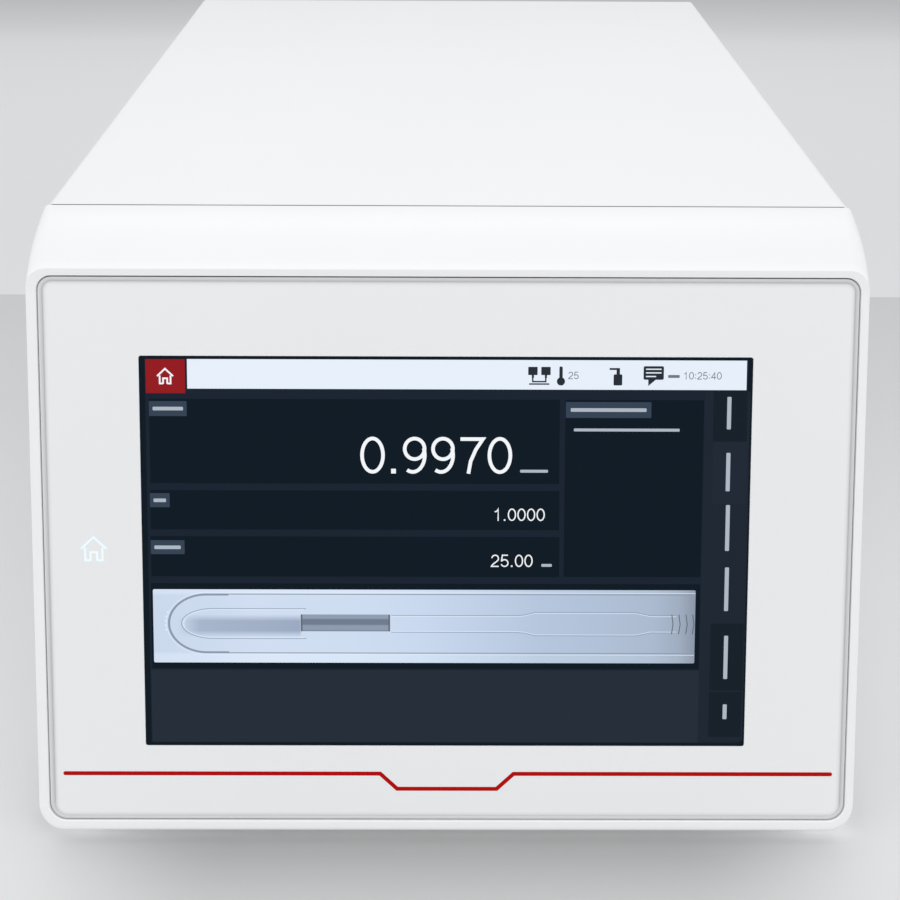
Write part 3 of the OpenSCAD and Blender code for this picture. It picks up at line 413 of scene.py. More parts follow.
def frame_loop(left, low, right_, high, low_r, high_r, depth):
    """A rounded rectangle on the face, starting at its lower right corner."""
    outline = quarters((right_ - low_r, low + low_r, low_r, -90), (right_ - high_r, high - high_r, high_r, 0),
                       (left + high_r, high - high_r, high_r, 90), (left + low_r, low + low_r, low_r, 180))
    return [on_face(x, v, depth) for x, v in outline]


def loft(rings, closed=True, caps=False):
    """Joins each ring of places to the next; closed runs back to the first, caps fill both ends."""
    count = len(rings[0])
    points = [p for ring in rings for p in ring]
    faces = [tuple(range(count)), tuple(range(len(points) - count, len(points)))[::-1]] if caps else []
    for i in range(len(rings) if closed else len(rings) - 1):
        here, there = i * count, (i + 1) % len(rings) * count
        for k in range(count):
            k2 = (k + 1) % count
            faces.append((here + k, here + k2, there + k2, there + k))
    return points, faces


def solid(rings):
    return loft(rings, closed=False, caps=True)


def joined(solids):
    """Several pairs of points and faces as one pair."""
    all_points, all_faces = [], []
    for points, faces in solids:
        all_faces += [tuple(i + len(all_points) for i in f) for f in faces]
        all_points += points
    return all_points, all_faces


def round_edges(piece, radius, above=16, steps=3):
    bevel = piece.modifiers.new("edge_radius", "BEVEL")
    bevel.width, bevel.segments = radius * MM, steps
    bevel.limit_method, bevel.angle_limit = "ANGLE", math.radians(above)
    bevel.miter_outer, bevel.harden_normals = "MITER_ARC", True
    return piece


print("steps in a corner", CORNER_STEPS)

# %% [markdown]
# ## The front bezel
# This moulded frame has straight sides and a face only a few millimetres wide. Its top swells in an
# arc from the crest to the seam, and its rounded lower edge catches some light.

# %% Mould the bezel
BEZEL_DEPTH, RIM_R, FOOT_R, COVER_R = 23.9, 8.0, 10.5, 4.3
CREST, TUCK, TUCK_FROM = FACE - 0.55, 2.0, 0.6
seam_y = FRONT_Y + (BEZEL_DEPTH + (HEIGHT - TABLE_GAP) * SIN) / COS
FOOT_START, FOOT_ROUND, FOOT_LIP = 0.8, 2.0, 2.3
crest = on_face(0, CREST, 0) / MM
drop = HEIGHT - crest.z
ARC_R = ((seam_y - crest.y) ** 2 + drop ** 2) / (2 * drop)
arc_v = (seam_y - FRONT_Y) * SIN + (HEIGHT - ARC_R - TABLE_GAP) * COS
arc_w = (seam_y - FRONT_Y) * COS - (HEIGHT - ARC_R - TABLE_GAP) * SIN


def bezel_loop(depth, wall=0.0):
    ease = depth / BEZEL_DEPTH
    top_r = RIM_R + (COVER_R - RIM_R) * ease - TUCK * max(0, ease - TUCK_FROM) / (1 - TUCK_FROM)
    foot_r = FOOT_R + (RIM_R - FOOT_R) * ease
    low = depth * math.tan(LEAN) + wall / COS - FOOT_LIP * (1 - ease)
    if depth < FOOT_ROUND and not wall:
        low = FOOT_START - math.sqrt(FOOT_ROUND ** 2 - (FOOT_ROUND - depth) ** 2)
    high = arc_v + math.sqrt((ARC_R - wall) ** 2 - (depth - arc_w) ** 2)
    side = SIDE - wall
    return frame_loop(-side, low, side, high, max(foot_r - wall, 1), max(top_r - wall, 1), depth)


OPENING, OPENING_R = (-169.33, 3.6, 170.1, 233.85), (7.4, 6.0)
WALL, LEDGE, LEDGE_BACK = 4.0, 4.0, 6.5
ledge = (-163.5, 9.0, 163.5, 228.0, 4.0, 4.0)
round_depths = [FOOT_ROUND * (1 - math.cos(math.radians(a))) for a in range(90, -1, -15)]
outside = [bezel_loop(FOOT_ROUND + (BEZEL_DEPTH - FOOT_ROUND) * (1 - k / 18)) for k in range(18)]
outside += [bezel_loop(depth) for depth in round_depths]
front = [frame_loop(*OPENING, *OPENING_R, 0), frame_loop(*OPENING, *OPENING_R, LEDGE),
         frame_loop(*ledge, LEDGE), frame_loop(*ledge, LEDGE_BACK)]
inside = [bezel_loop(LEDGE_BACK + (BEZEL_DEPTH - LEDGE_BACK) * k / 10, WALL) for k in range(11)]
bezel = mesh_piece("bezel_moulding", *loft(outside + front + inside), "bezel_white", slot="bezel")
round_edges(bezel, 0.3)
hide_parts("front_bezel")
print("shoulder radius in mm", round(ARC_R, 1), "seam at y", round(seam_y, 1))

# %% [markdown]
# ## The top cover
# The hood is one folded sheet with soft long edges: an upside-down U, cut square at the rear and at
# 30 degrees at the front. Its section is drawn once and stretched between the two cuts. A Boolean
# modifier then cuts the niche and the screw seats out of its sides.

# %% Draw the section and stretch it
COVER_WALL, SEAM, REAR_Y = 3.0, 0.7, 263.0
SEAM_DEPTH = BEZEL_DEPTH + SEAM


def hood_section(inset, radius):
    """From the right foot round the top to the left foot."""
    w, top = SIDE - inset, HEIGHT - inset
    corners = quarters((w - radius, top - radius, radius, 0), (radius - w, top - radius, radius, 90))
    return [(w, TABLE_GAP), *corners, (-w, TABLE_GAP)]


def on_cut(x, z, depth):
    """Where a line running back through x and z meets the plane at that depth."""
    y = FRONT_Y + (depth + (z - TABLE_GAP) * SIN) / COS
    return Vector((x, y, z)) * MM


def folded(outer, inner, near, far=None):
    """Closes two open U drawings into one and runs it between two depths, or to the rear cut."""
    outline = outer + inner[::-1]
    front_end = [on_cut(x, z, near) for x, z in outline]
    rear_end = [on_cut(x, z, far) if far else Vector((x, REAR_Y, z)) * MM for x, z in outline]
    points, faces = loft([front_end, rear_end], closed=False)
    whole = len(outline)
    for k in range(len(outer) - 1):
        quad = (k, k + 1, whole - 2 - k, whole - 1 - k)
        faces += [quad, tuple(i + whole for i in quad)]
    return points, faces


sections = hood_section(0, COVER_R - 0.3), hood_section(COVER_WALL, 1)
hood = mesh_piece("hood_moulding", *folded(*sections, SEAM_DEPTH), "casing_white", slot="casing")
round_edges(hood, 0.12, above=30, steps=2)
print("hood faces", len(hood.data.polygons))

# %% [markdown]
# The seam shows as a thin dark line because a tongue on the bezel reaches in behind the cover's edge
# and stops the light there, and because the cover's cut face is painted with shade. It is the same
# kind of drawing, a little smaller.

# %% The tongue behind the seam
TONGUE_NEAR, TONGUE_FAR, TONGUE_FOOT = 20.0, 32.0, 20.0
sections = [[(x, max(z, TONGUE_FOOT)) for x, z in hood_section(COVER_WALL + inset, radius)]
            for inset, radius in ((0.3, 1.2), (2.3, 1.0))]
tongue = mesh_piece("bezel_tongue", *folded(*sections, TONGUE_NEAR, TONGUE_FAR), "bezel_white",
                    slot="bezel")
round_edges(tongue, 0.3, above=30, steps=2)
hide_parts("front_bezel")

# %% Cut the niche and the screw seats
NICHE_Y, NICHE_Z, NICHE, NICHE_R = -85.0, 118.0, 84.6, 8.3
SCREW_Y, SCREW_Z = (-190.0, 30.0, 240.0), 26.0


def rounded_outline(width, height, radius, steps=10):
    x, y = width / 2 - radius, height / 2 - radius
    return quarters((x, -y, radius, -90), (x, y, radius, 0), (-x, y, radius, 90), (-x, -y, radius, 180),
                    steps=steps)


def side_rings(y, z, shape, stations):
    """Rings in the side wall: each station has a place along X and a size factor."""
    return [[Vector((x, y + u * f, z + v * f)) * MM for u, v in shape] for x, f in stations]


circle = arc(0, 0, 1, 1, 0, 360, 40)[:-1]
cuts = [side_rings(NICHE_Y, NICHE_Z, rounded_outline(NICHE, NICHE, NICHE_R), [(-176, 1), (-166, 1)])]
cuts += [side_rings(y, SCREW_Z, circle, [(side * 174.0, 4.72), (side * 171.5, 2.2), (side * 168.0, 2.2)])
         for side in (-1, 1) for y in SCREW_Y]
cutter = add_object("cutter", new_mesh("cutter", *joined(solid(rings) for rings in cuts)))
opening = hood.modifiers.new("openings", "BOOLEAN")
opening.object, opening.operation, opening.solver = cutter, "DIFFERENCE", "EXACT"

graph = bpy.context.evaluated_depsgraph_get()
hood_cut = bpy.data.meshes.new_from_object(hood.evaluated_get(graph), preserve_all_data_layers=True,
                                           depsgraph=graph)
hood.modifiers.clear()
hood.data = hood_cut
bpy.data.objects.remove(cutter)
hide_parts("top_cover")
print("hood faces after the cuts", len(hood.data.polygons))

# %% [markdown]
# ## The inset front panel
# Inside the bezel lies a panel of nearly the same white. Its edge is a narrow flat lip and a soft
# swell up to the field. Together with painted shade, these draw the fine grey outline round the front.

# %% Mould the panel
PLATEAU, LIP_DEPTH, BACK, SWELL = 0.5, 0.95, 4.0, 1.9
PANEL, PANEL_R = (-168.96, 4.06, 169.73, 233.4), (7.0, 5.6)
CREASE, CREASE_R = (-167.05, 5.4, 168.05, 231.85), (5.4, 4.1)
WINDOW, WINDOW_R = (-127.9, 36.2, 126.42, 201.15), 1.0


def inset_loop(outline, radii, margin, depth):
    left, low, right_, high = outline
    foot_r, top_r = (max(r - margin, 1.5) for r in radii)
    return frame_loop(left + margin, low + margin, right_ - margin, high - margin, foot_r, top_r, depth)


def window_loop(depth, inset=0.0):
    left, low, right_, high = WINDOW
    return frame_loop(left + inset, low + inset, right_ - inset, high - inset, WINDOW_R, WINDOW_R, depth)


rings = [inset_loop(PANEL, PANEL_R, 0, BACK), inset_loop(PANEL, PANEL_R, 0, LIP_DEPTH)]
for angle in (math.radians(15 * k) for k in range(7)):
    rise = (LIP_DEPTH - PLATEAU) * math.sin(angle)
    rings.append(inset_loop(CREASE, CREASE_R, SWELL * (1 - math.cos(angle)), LIP_DEPTH - rise))
rings += [window_loop(PLATEAU), window_loop(BACK)]
panel = mesh_piece("panel_moulding", *loft(rings), "panel_grey_white", slot="panel", sharp=20)
round_edges(panel, 0.14, above=20, steps=2)
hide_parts("front_panel")
print("panel faces", len(panel.data.polygons))

# %% [markdown]
# The lip is painted with shade that stands in for the shadow of its crease: darker than the field,
# and darkest in the crease. So the colour has to know how far each place lies from the crease, which
# is the distance to a rounded rectangle. At the foot the crease faces the light, so the painted shade
# is weaker there. The field is also a little lighter towards the foot.

# %% Paint shade on the lip by its distance from the crease
def face_place(finish):
    """Across, up the face and into it, in millimetres, for any place in a shader."""
    y, z = finish.axis("Y") - FRONT_Y * MM, finish.axis("Z") - TABLE_GAP * MM
    up_face = (y * SIN + z * COS) / MM
    inward = (y * COS - z * SIN) / MM
    return finish.axis("X") / MM, up_face, inward


def edge_distance(across, up_face, outline, radii):
    """Millimetres inward from the edge of a rounded rectangle."""
    left, low, right_, high = outline
    radius = radii[0] - (up_face > (low + high) / 2) * (radii[0] - radii[1])
    side = abs(across - (left + right_) / 2) - (right_ - left) / 2 + radius
    end = abs(up_face - (low + high) / 2) - (high - low) / 2 + radius
    beyond_side, beyond_end = side.math("MAXIMUM", side, 0), end.math("MAXIMUM", end, 0)
    corner = beyond_side * beyond_side + beyond_end * beyond_end
    within = side.math("MINIMUM", side.math("MAXIMUM", side, end), 0)
    return radius - corner.math("SQRT", corner, 0) - within


def tones(*pairs):
    return [(place, (tone, tone, tone, 1)) for place, tone in pairs]


def multiplied(finish, colour, *factors):
    for factor in factors:
        colour = finish.between(1.0, colour, factor, "MULTIPLY")
    return colour


def colour_of(finish):
    return Value(finish, finish.shader.inputs["Base Color"].links[0].from_socket)


FACE_SPAN, BODY_SPAN, EDGE_ZONE, FOOT_ZONE = 240, 350, 5, 20
field = Finish.made["panel_grey_white"]
across, up_face = face_place(field)[:2]
distance = (edge_distance(across, up_face, CREASE, CREASE_R) + 2) / EDGE_ZONE
# Painted shade on the lip, darkest in the crease
lip_painted_shade = field.ramp(distance, *tones(
    (0.05, 0.98), (0.12, 0.87), (0.21, 0.78), (0.31, 0.70), (0.38, 0.62), (0.407, 0.54), (0.45, 0.64),
    (0.50, 0.75), (0.55, 0.83), (0.63, 0.91), (0.71, 0.96), (0.82, 1.0)))
# Weaker painted shade at the foot, where the crease faces the light
foot_painted_shade = field.ramp(distance, *tones(
    (0.09, 0.66), (0.16, 0.74), (0.24, 0.80), (0.40, 0.81), (0.50, 0.86), (0.6, 0.92), (0.78, 1.0)))
low_end = field.ramp(up_face / FOOT_ZONE, *tones((0.3, 1.0), (0.6, 0.0)))
# The field is a little lighter towards the foot
footward = field.ramp(up_face / FACE_SPAN, *tones((0.0, 1.025), (0.5, 1.0)))
painted_edge_shade = field.between(low_end, lip_painted_shade, foot_painted_shade)
field.set("Base Color", multiplied(field, colour_of(field), painted_edge_shade, footward))

# %% [markdown]
# The bezel's ring faces the lamps less than its rounded shoulder does, so painted shade makes its
# colour a touch deeper there, most of all just below the crest. Painted highlights lighten the
# shoulder just behind the crest, the shoulder's edge at the seam and the ring's inner edge at the foot.

# %% Paint shade on the bezel's ring and highlights on its edges
rim = Finish.made["bezel_white"]
across, up_face, inward = face_place(rim)
# Painted shade on the ring, deepest just below the crest
ring_painted_shade = rim.ramp(up_face / FACE_SPAN, *tones(
    (0.0, 1.0), (0.08, 0.985), (0.5, 0.972), (0.94, 0.965), (0.972, 0.93)))
on_ring = inward.ease(0.16, 0.04)
# Painted highlights on the shoulder: just behind the crest and at the edge by the seam
shoulder_painted_highlight = rim.ramp(inward * 0.04, *tones((0.006, 1.035), (0.06, 1.0), (0.915, 1.0), (0.935, 1.06)))
# Painted highlight along the ring's inner edge at the foot
inner_edge = rim.ramp((edge_distance(across, up_face, OPENING, OPENING_R) + 1) * 0.5, *tones(
    (0.2, 0.0), (0.36, 1.0), (0.6, 1.0), (0.7, 0.0)))
painted_edge_highlight = inner_edge * rim.ramp(up_face / FOOT_ZONE, *tones((0.25, 1.0), (0.5, 0.0)))
white = (1, 1, 1, 1)
ring_colour = multiplied(rim, colour_of(rim), rim.between(on_ring, shoulder_painted_highlight, ring_painted_shade))
rim.set("Base Color", rim.between(painted_edge_highlight, ring_colour, (0.97, 0.97, 0.97, 1)))

# %% [markdown]
# The cover's front edge stands in the shade of the seam, so painted shade darkens the cut face. The
# cover is also painted a little darker towards the rear, as shade where less light reaches it.

# %% Paint shade in the seam and towards the rear
skin = Finish.made["casing_white"]
inward = face_place(skin)[2]
# Painted shade on the cover's cut face in the seam
in_seam = inward.ease(SEAM_DEPTH + 0.14, SEAM_DEPTH + 0.06)
shade = skin.between(in_seam, white, (0.2, 0.2, 0.21, 1))
# Painted shade: the cover is a little darker towards the rear
rear_painted_shade = skin.ramp(inward / BODY_SPAN, *tones((0.55, 1.0), (1.0, 0.95)))
skin.set("Base Color", multiplied(skin, colour_of(skin), shade, rear_painted_shade))

# %% The touch glass
GLASS_FACE = 0.65
plate = mesh_piece("touch_plate", *solid([window_loop(GLASS_FACE, 0.08), window_loop(BACK, 0.08)]),
                   "touch_glass_black", slot="screen_glass")
round_edges(plate, 0.1, above=30, steps=2)
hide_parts("touch_glass")
print("window in mm", WINDOW)

# %% [markdown]
# ## Drawing flat shapes
# Print and screen graphics are flat shapes on the face: boxes with round corners, and lines of an
# even width. One small class collects them in millimetres and presses them on as a thin layer.

# %% A pen for the face
class Drawing:
    def __init__(self):
        self.points, self.faces = [], []

    def polygon(self, outline):
        start = len(self.points)
        self.points += outline
        self.faces.append(tuple(range(start, start + len(outline))))
        return self

    def box(self, left, low, right_, high, radius=0.0):
        if radius <= 0:
            return self.polygon([(left, low), (right_, low), (right_, high), (left, high)])
        shape = rounded_outline(right_ - left, high - low, radius, steps=5)
        x, v = (left + right_) / 2, (low + high) / 2
        return self.polygon([(x + a, v + b) for a, b in shape])

    def line(self, path, width, closed=False):
        """A line of even width, mitred at its bends."""
        start, count = len(self.points), len(path)
        for i, (x, v) in enumerate(path):
            before = path[i - 1] if i or closed else path[0]
            after = path[(i + 1) % count] if i < count - 1 or closed else path[-1]
            into, out = Vector((x - before[0], v - before[1])), Vector((after[0] - x, after[1] - v))
            into = into.normalized() if into.length > 1e-9 else out.normalized()
            out = out.normalized() if out.length > 1e-9 else into
            along = (into + out).normalized()
            side = Vector((-along.y, along.x)) * width / 2
            side /= max(along.dot(into), 0.35)
            self.points += [(x + side.x, v + side.y), (x - side.x, v - side.y)]
        for i in range(count if closed else count - 1):
            a, b = start + 2 * i, start + 2 * ((i + 1) % count)
            self.faces.append((a, a + 1, b + 1, b))
        return self

    def boxes(self, *boxes, radius=0.0):
        for box in boxes:
            self.box(*box, radius)
        return self

    def strokes(self, paths, width):
        for path in paths:
            self.line(path, width)
        return self

    def press(self, name, depth, finish, thick=0.02, slot="screen_glass"):
        mesh = bpy.data.meshes.new(name)
        mesh.from_pydata([tuple(on_face(x, v, depth)) for x, v in self.points], [], self.faces)
        work = bmesh.new()
        work.from_mesh(mesh)
        outward = Vector((0, -COS, SIN))
        for face in work.faces:
            face.normal_update()
            if face.normal.dot(outward) < 0:
                face.normal_flip()
        rims = bmesh.ops.extrude_face_region(work, geom=list(work.faces), use_keep_orig=True)
        backs = [g for g in rims["geom"] if isinstance(g, bmesh.types.BMVert)]
        bmesh.ops.translate(work, verts=backs, vec=-outward * thick * MM)
        bmesh.ops.recalc_face_normals(work, faces=work.faces)
        work.to_mesh(mesh)
        work.free()
        return place_mesh(name, mesh, finish)


print("the pen is ready")

# %% [markdown]
# ## The print on the panel
# A red line runs across the foot of the panel and dips under the middle. It is screen printed, so
# the ink is even, slightly glossy and a few hundredths of a millimetre thick.

# %% Print the red line
ink = Finish("print_red", Roughness=0.35, Specular_IOR_Level=0.08)
ink.set("Base Color", ink.between(ink.noise(30), linear(168, 0, 0), linear(184, 2, 2)))
ink.set("Roughness", ink.noise(200) * 0.1 + 0.3)
LINE_W = 1.72
LINE_V, DIP_V, LINE_LEFT, LINE_RIGHT = 24.0, 17.4, -162.3, 163.5
dip = [(-28.4, LINE_V), (-21.2, DIP_V), (21.2, DIP_V), (28.4, LINE_V)]
red_line = Drawing().line([(LINE_LEFT, LINE_V), *dip, (LINE_RIGHT, LINE_V)], LINE_W)
for x, toward in ((LINE_LEFT, 90), (LINE_RIGHT, -90)):
    red_line.polygon(arc(x, LINE_V, LINE_W / 2, LINE_W / 2, toward, toward + 180, 12))
red_line.press("red_line", PLATEAU - 0.03, "print_red", thick=0.04, slot="panel")

# %% [markdown]
# Left of the screen is a touch key. Nothing moves: a small sign is lit from behind the panel. The
# sign here is a plain house, drawn for this part.

# %% Light the key
KEY_X, KEY_V = -148.1, 120.3


def house(x, v, size):
    """A plain house: the roof, a wall, the doorway and the other wall."""
    roof = ((-0.5, 0.02), (0, 0.48), (0.5, 0.02))
    wall = ((-0.13, -0.44), (-0.34, -0.44), (-0.34, 0.06))
    door = ((-0.13, -0.46), (-0.13, -0.12), (0.13, -0.12), (0.13, -0.46))
    other = ((0.13, -0.44), (0.34, -0.44), (0.34, 0.06))
    return [[(x + a * size, v + b * size) for a, b in stroke] for stroke in (roof, wall, door, other)]


Drawing().strokes(house(KEY_X, KEY_V, 10.6), 0.85).press(
    "key_sign", PLATEAU - 0.02, "key_light", thick=0.03, slot="light_guide")

# %% [markdown]
# ## What the screen shows
# The screen is built in layers, from the dark ground up: tiles, label chips, the bright status bar
# and the numbers. Plain bars stand for the words, and the numbers are those of pure water.

# %% Ground, tiles and bars
LAYER = 0.03


def show(drawing, name, layer, finish):
    """Presses a drawing on to the screen, each layer in front of the last."""
    drawing.press(name, GLASS_FACE - LAYER * layer, finish)


for name, layer, finish, radius, boxes in (
        ("screen_back", 1, "screen_ground", 0, [(-125.4, 37.6, 124.6, 199.9)]),
        ("screen_foot", 2, "screen_ground_low", 0, [(-125.0, 37.8, 106.6, 68.9)]),
        ("screen_tiles", 2, "screen_tile", 0, [
            (-123.9, 148.2, 46.5, 183.4), (-124.1, 128.8, 46.7, 145.3), (-124.2, 108.9, 46.9, 125.9),
            (48.8, 109.0, 106.4, 183.4), (-124.5, 69.6, 106.4, 106.0)]),
        ("screen_tab_column", 1.5, "screen_column", 0, [(106.8, 38.4, 125.6, 187.0)]),
        ("screen_tabs", 2, "screen_tab", 0, [
            (110.3, 166.2, 124.4, 187.2), (111.1, 60.4, 125.2, 89.2), (111.1, 40.2, 124.9, 59.8)]),
        ("screen_tab_next", 2, "screen_tab_mid", 0, [(110.6, 140.0, 124.9, 165.9)]),
        ("status_bar", 3, "screen_bar", 0, [(-107.9, 187.6, 123.8, 199.8)]),
        ("home_field", 3, "screen_red", 0, [(-125.1, 185.7, -108.8, 199.7)]),
        ("screen_chips", 3, "screen_chip", 0.3, [
            (-123.9, 176.2, -108.3, 182.4), (-124.2, 138.1, -116.0, 144.0),
            (-124.2, 118.3, -110.1, 124.2), (49.0, 175.9, 84.5, 182.5)])):
    show(Drawing().boxes(*boxes, radius=radius), name, layer, finish)
print("ground is in place")

# %% [markdown]
# ## Numbers from strokes
# Ten plain figures are quick to write as strokes and arcs, each in a box one unit high. The pen then
# gives them their width, so no font file is needed.

# %% Ten figures as strokes
def bowl(x, y, rx, ry, steps=40):
    return arc(x, y, rx, ry, 0, 360, steps)[:-1], True


def stroke(*points):
    return list(points), False


FIGURES = {
    "0": [bowl(0.385, 0.5, 0.285, 0.455, 48)],
    "1": [stroke((0.15, 0.74), (0.28, 0.76), (0.38, 0.83), (0.43, 0.955), (0.43, 0.0))],
    "2": [stroke(*arc(0.385, 0.685, 0.265, 0.27, 172, -28), (0.50, 0.44), (0.24, 0.24), (0.13, 0.13),
                 (0.09, 0.045), (0.67, 0.045))],
    "3": [stroke(*arc(0.37, 0.725, 0.235, 0.23, 165, -88), *arc(0.37, 0.275, 0.275, 0.23, 88, -168))],
    "4": [stroke((0.52, 0.0), (0.52, 0.93), (0.08, 0.26), (0.70, 0.26))],
    "5": [stroke((0.64, 0.955), (0.20, 0.955), (0.13, 0.50), *arc(0.375, 0.32, 0.275, 0.275, 138, -160))],
    "6": [bowl(0.39, 0.31, 0.27, 0.265), stroke(*arc(0.44, 0.5, 0.325, 0.455, 62, 205))],
    "7": [stroke((0.08, 0.945), (0.69, 0.945), (0.50, 0.66), (0.36, 0.34), (0.30, 0.0))],
    "8": [bowl(0.385, 0.72, 0.225, 0.235), bowl(0.385, 0.265, 0.27, 0.22)],
    "9": [bowl(0.375, 0.675, 0.27, 0.28), stroke(*arc(0.325, 0.5, 0.325, 0.455, 25, -118))],
}
DOTS = {".": (0.0,), ":": (0.12, 0.58)}
ADVANCE, NARROW = 0.77, 0.385


def write(drawing, text, x, v, height, weight=0.1):
    """Writes plain numbers from x to the right, with their feet at v."""
    for figure in text:
        for path, closed in FIGURES.get(figure, ()):
            drawing.line([(x + a * height, v + b * height) for a, b in path], weight * height, closed)
        for b in DOTS.get(figure, ()):
            left, low, side = x + 0.12 * height, v + b * height, 0.13 * height
            drawing.box(left, low, left + side, low + side)
        x += (ADVANCE if figure in FIGURES else NARROW) * height


numbers = Drawing()
write(numbers, "0.9970", -37.2, 152.5, 15.3, weight=0.098)
write(numbers, "1.0000", 18.9, 132.7, 5.2)
write(numbers, "25.00", 18.0, 113.2, 5.2)
show(numbers, "screen_numbers", 4, "screen_white")
clock = Drawing()
write(clock, "10:25:40", 97.4, 192.0, 3.0, weight=0.11)
write(clock, "25", 49.7, 192.0, 3.0, weight=0.11)
show(clock, "status_numbers", 4, "screen_grey")

# %% [markdown]
# ## Bars for words, and the small signs
# Each word is a plain rounded bar of its own length. The signs in the status bar are two linked
# screens, a thermometer, a bottle and a message, drawn from boxes and lines.

# %% Bars in place of words
bars = Drawing()
for left, v, width, tall in ((-122.4, 179.3, 12.6, 1.5), (-122.7, 141.0, 5.2, 1.5),
                             (-122.7, 121.2, 11.0, 1.5), (51.0, 179.2, 31.5, 1.5),
                             (52.4, 170.9, 44.0, 1.2), (30.2, 153.6, 11.6, 1.2),
                             (39.4, 113.9, 4.4, 1.2)):
    bars.box(left, v - tall / 2, left + width, v + tall / 2, 0.35)
for x, high, low in ((116.0, 184.8, 171.3), (116.1, 161.5, 145.4), (116.4, 139.6, 120.2),
                     (116.6, 113.2, 94.6), (116.9, 84.0, 65.4), (117.0, 54.4, 48.0)):
    bars.box(x, low, x + 1.7, high, 0.35)
show(bars, "screen_word_bars", 4, "screen_label")

# %% The signs of the status bar
signs = Drawing()
for x in (33.2, 38.6):
    signs.box(x, 193.6, x + 3.9, 197.0, 0.3).box(x + 1.5, 192.4, x + 2.4, 193.7)
signs.line([(35.1, 192.4), (35.1, 190.9), (40.5, 190.9), (40.5, 192.4)], 0.6)
signs.box(33.6, 189.6, 42.0, 190.2)
signs.box(46.1, 191.4, 47.5, 197.2, 0.6).polygon(arc(46.8, 191.0, 1.7, 1.7, 0, 348, 28))
signs.box(68.6, 189.4, 72.2, 194.0, 0.5).box(69.8, 194.0, 71.2, 196.6).box(66.9, 195.8, 71.2, 196.6)
signs.box(81.0, 191.8, 89.4, 197.4, 0.6).polygon([(83.0, 191.9), (86.2, 191.9), (83.0, 189.2)])
show(signs, "status_signs", 4, "screen_icon")
message = Drawing().boxes((82.0, 195.9, 88.4, 196.4), (82.0, 194.4, 88.4, 194.9), (82.0, 192.9, 86.2, 193.4))
show(message, "message_lines", 5, "screen_bar")
show(Drawing().strokes(house(-117.0, 192.6, 6.6), 0.7), "home_sign", 4, "screen_white")
show(Drawing().box(91.2, 192.6, 96.0, 193.8, 0.3), "status_bar_word", 4, "screen_grey")

# %% [markdown]
# ## The live picture of the cell
# A density meter of this kind films its own glass tube, so that the user can see bubbles. The picture
# has a pale backlight, a U of glass with bright and dark edges, a smoky core and the magnet.

# %% The pale strip behind the tube
STRIP = (-123.7, 72.1, 104.5, 103.4)


def share_up(finish, low, high):
    """How far up a place lies between two heights of the face, 0 to 1."""
    low_z, high_z = on_face(0, low, 0).z, on_face(0, high, 0).z
    return (finish.axis("Z") - low_z) / (high_z - low_z)


film = glowing("film_backlight")
up_strip = share_up(film, STRIP[1], STRIP[3])
along_strip = (film.axis("X") - STRIP[0] * MM) / ((STRIP[2] - STRIP[0]) * MM)
pale, edge, smoky = linear(211, 224, 243), linear(222, 234, 250), linear(152, 166, 190)
backlight = film.ramp(up_strip, (0.0, edge), (0.1, edge), (0.14, pale), (0.9, pale), (0.95, edge))
smoke = film.ramp(up_strip, *tones((0.335, 0), (0.43, 1), (0.56, 1), (0.65, 0))) * film.ramp(
    along_strip, *tones((0.045, 0), (0.085, 0.75), (0.2725, 1), (0.2735, 0)))
smoked = film.between(smoke, backlight, smoky)
clouded = film.between(film.noise(22, detail=4) * 0.16, smoked, linear(176, 190, 214))
falling = film.ramp(along_strip, *[(place, (red, (red + blue) / 2, blue, 1)) for place, red, blue in (
    (0.0, 0.93, 0.95), (0.1, 0.96, 0.98), (0.2, 1.0, 1.0), (0.35, 0.98, 1.0), (0.49, 0.91, 0.97),
    (0.6, 0.83, 0.9), (0.71, 0.73, 0.81), (0.82, 0.69, 0.77), (0.92, 0.64, 0.71), (0.97, 0.55, 0.6),
    (1.0, 0.4, 0.44))])
film.set("Emission Color", multiplied(film, clouded, falling))
show(Drawing().box(*STRIP, 0.6), "film_strip", 3, "film_backlight")

# %% The tube's outline
CENTRE, OUTER, INNER = 88.85, 12.55, 6.4


def u_line(apex, straight_from, straight_to, half):
    """Round the bend from the top right end to the bottom right end."""
    bend = arc(straight_from, CENTRE, straight_from - apex, half, 90, 270, 40)
    return [(straight_to, CENTRE + half)] + bend + [(straight_to, CENTRE - half)]


glass_dark, glass_bright = Drawing(), Drawing()
glass_dark.line(u_line(-117.4, -101.3, 104.3, OUTER), 0.4)
glass_dark.line(u_line(-111.9, -98.6, -59.4, INNER), 0.26)
glass_bright.line(u_line(-118.2, -101.5, 104.3, OUTER + 0.7), 0.2)
for start in range(158, 198, 8):
    glass_bright.line(arc(-101.3, CENTRE, 17.4, OUTER + 1.1, start, start + 3, 3), 0.6)
    glass_bright.line(arc(-98.6, CENTRE, 12.2, INNER - 0.9, start, start + 4, 3), 0.4)
glass_bright.line(u_line(-111.2, -98.4, -60.4, INNER - 0.5), 0.2)
neck = ((-23.6, 3.6), (29.0, 3.6), (32.6, 3.9), (37.0, 5.0), (79.2, 5.0), (82.4, 4.4), (85.6, 3.7),
        (96.5, 3.7))
for side in (1, -1):
    glass_dark.line([(x, CENTRE + side * v) for x, v in neck], 0.24)
    glass_bright.line([(x, CENTRE + side * (v - 0.4)) for x, v in neck], 0.2)
glass_dark.line(u_line(-117.1, -101.3, -92.0, OUTER - 0.2), 0.85)
show(glass_dark, "film_dark_lines", 5, "film_line")
show(glass_bright, "film_bright_lines", 5.5, "film_shine")

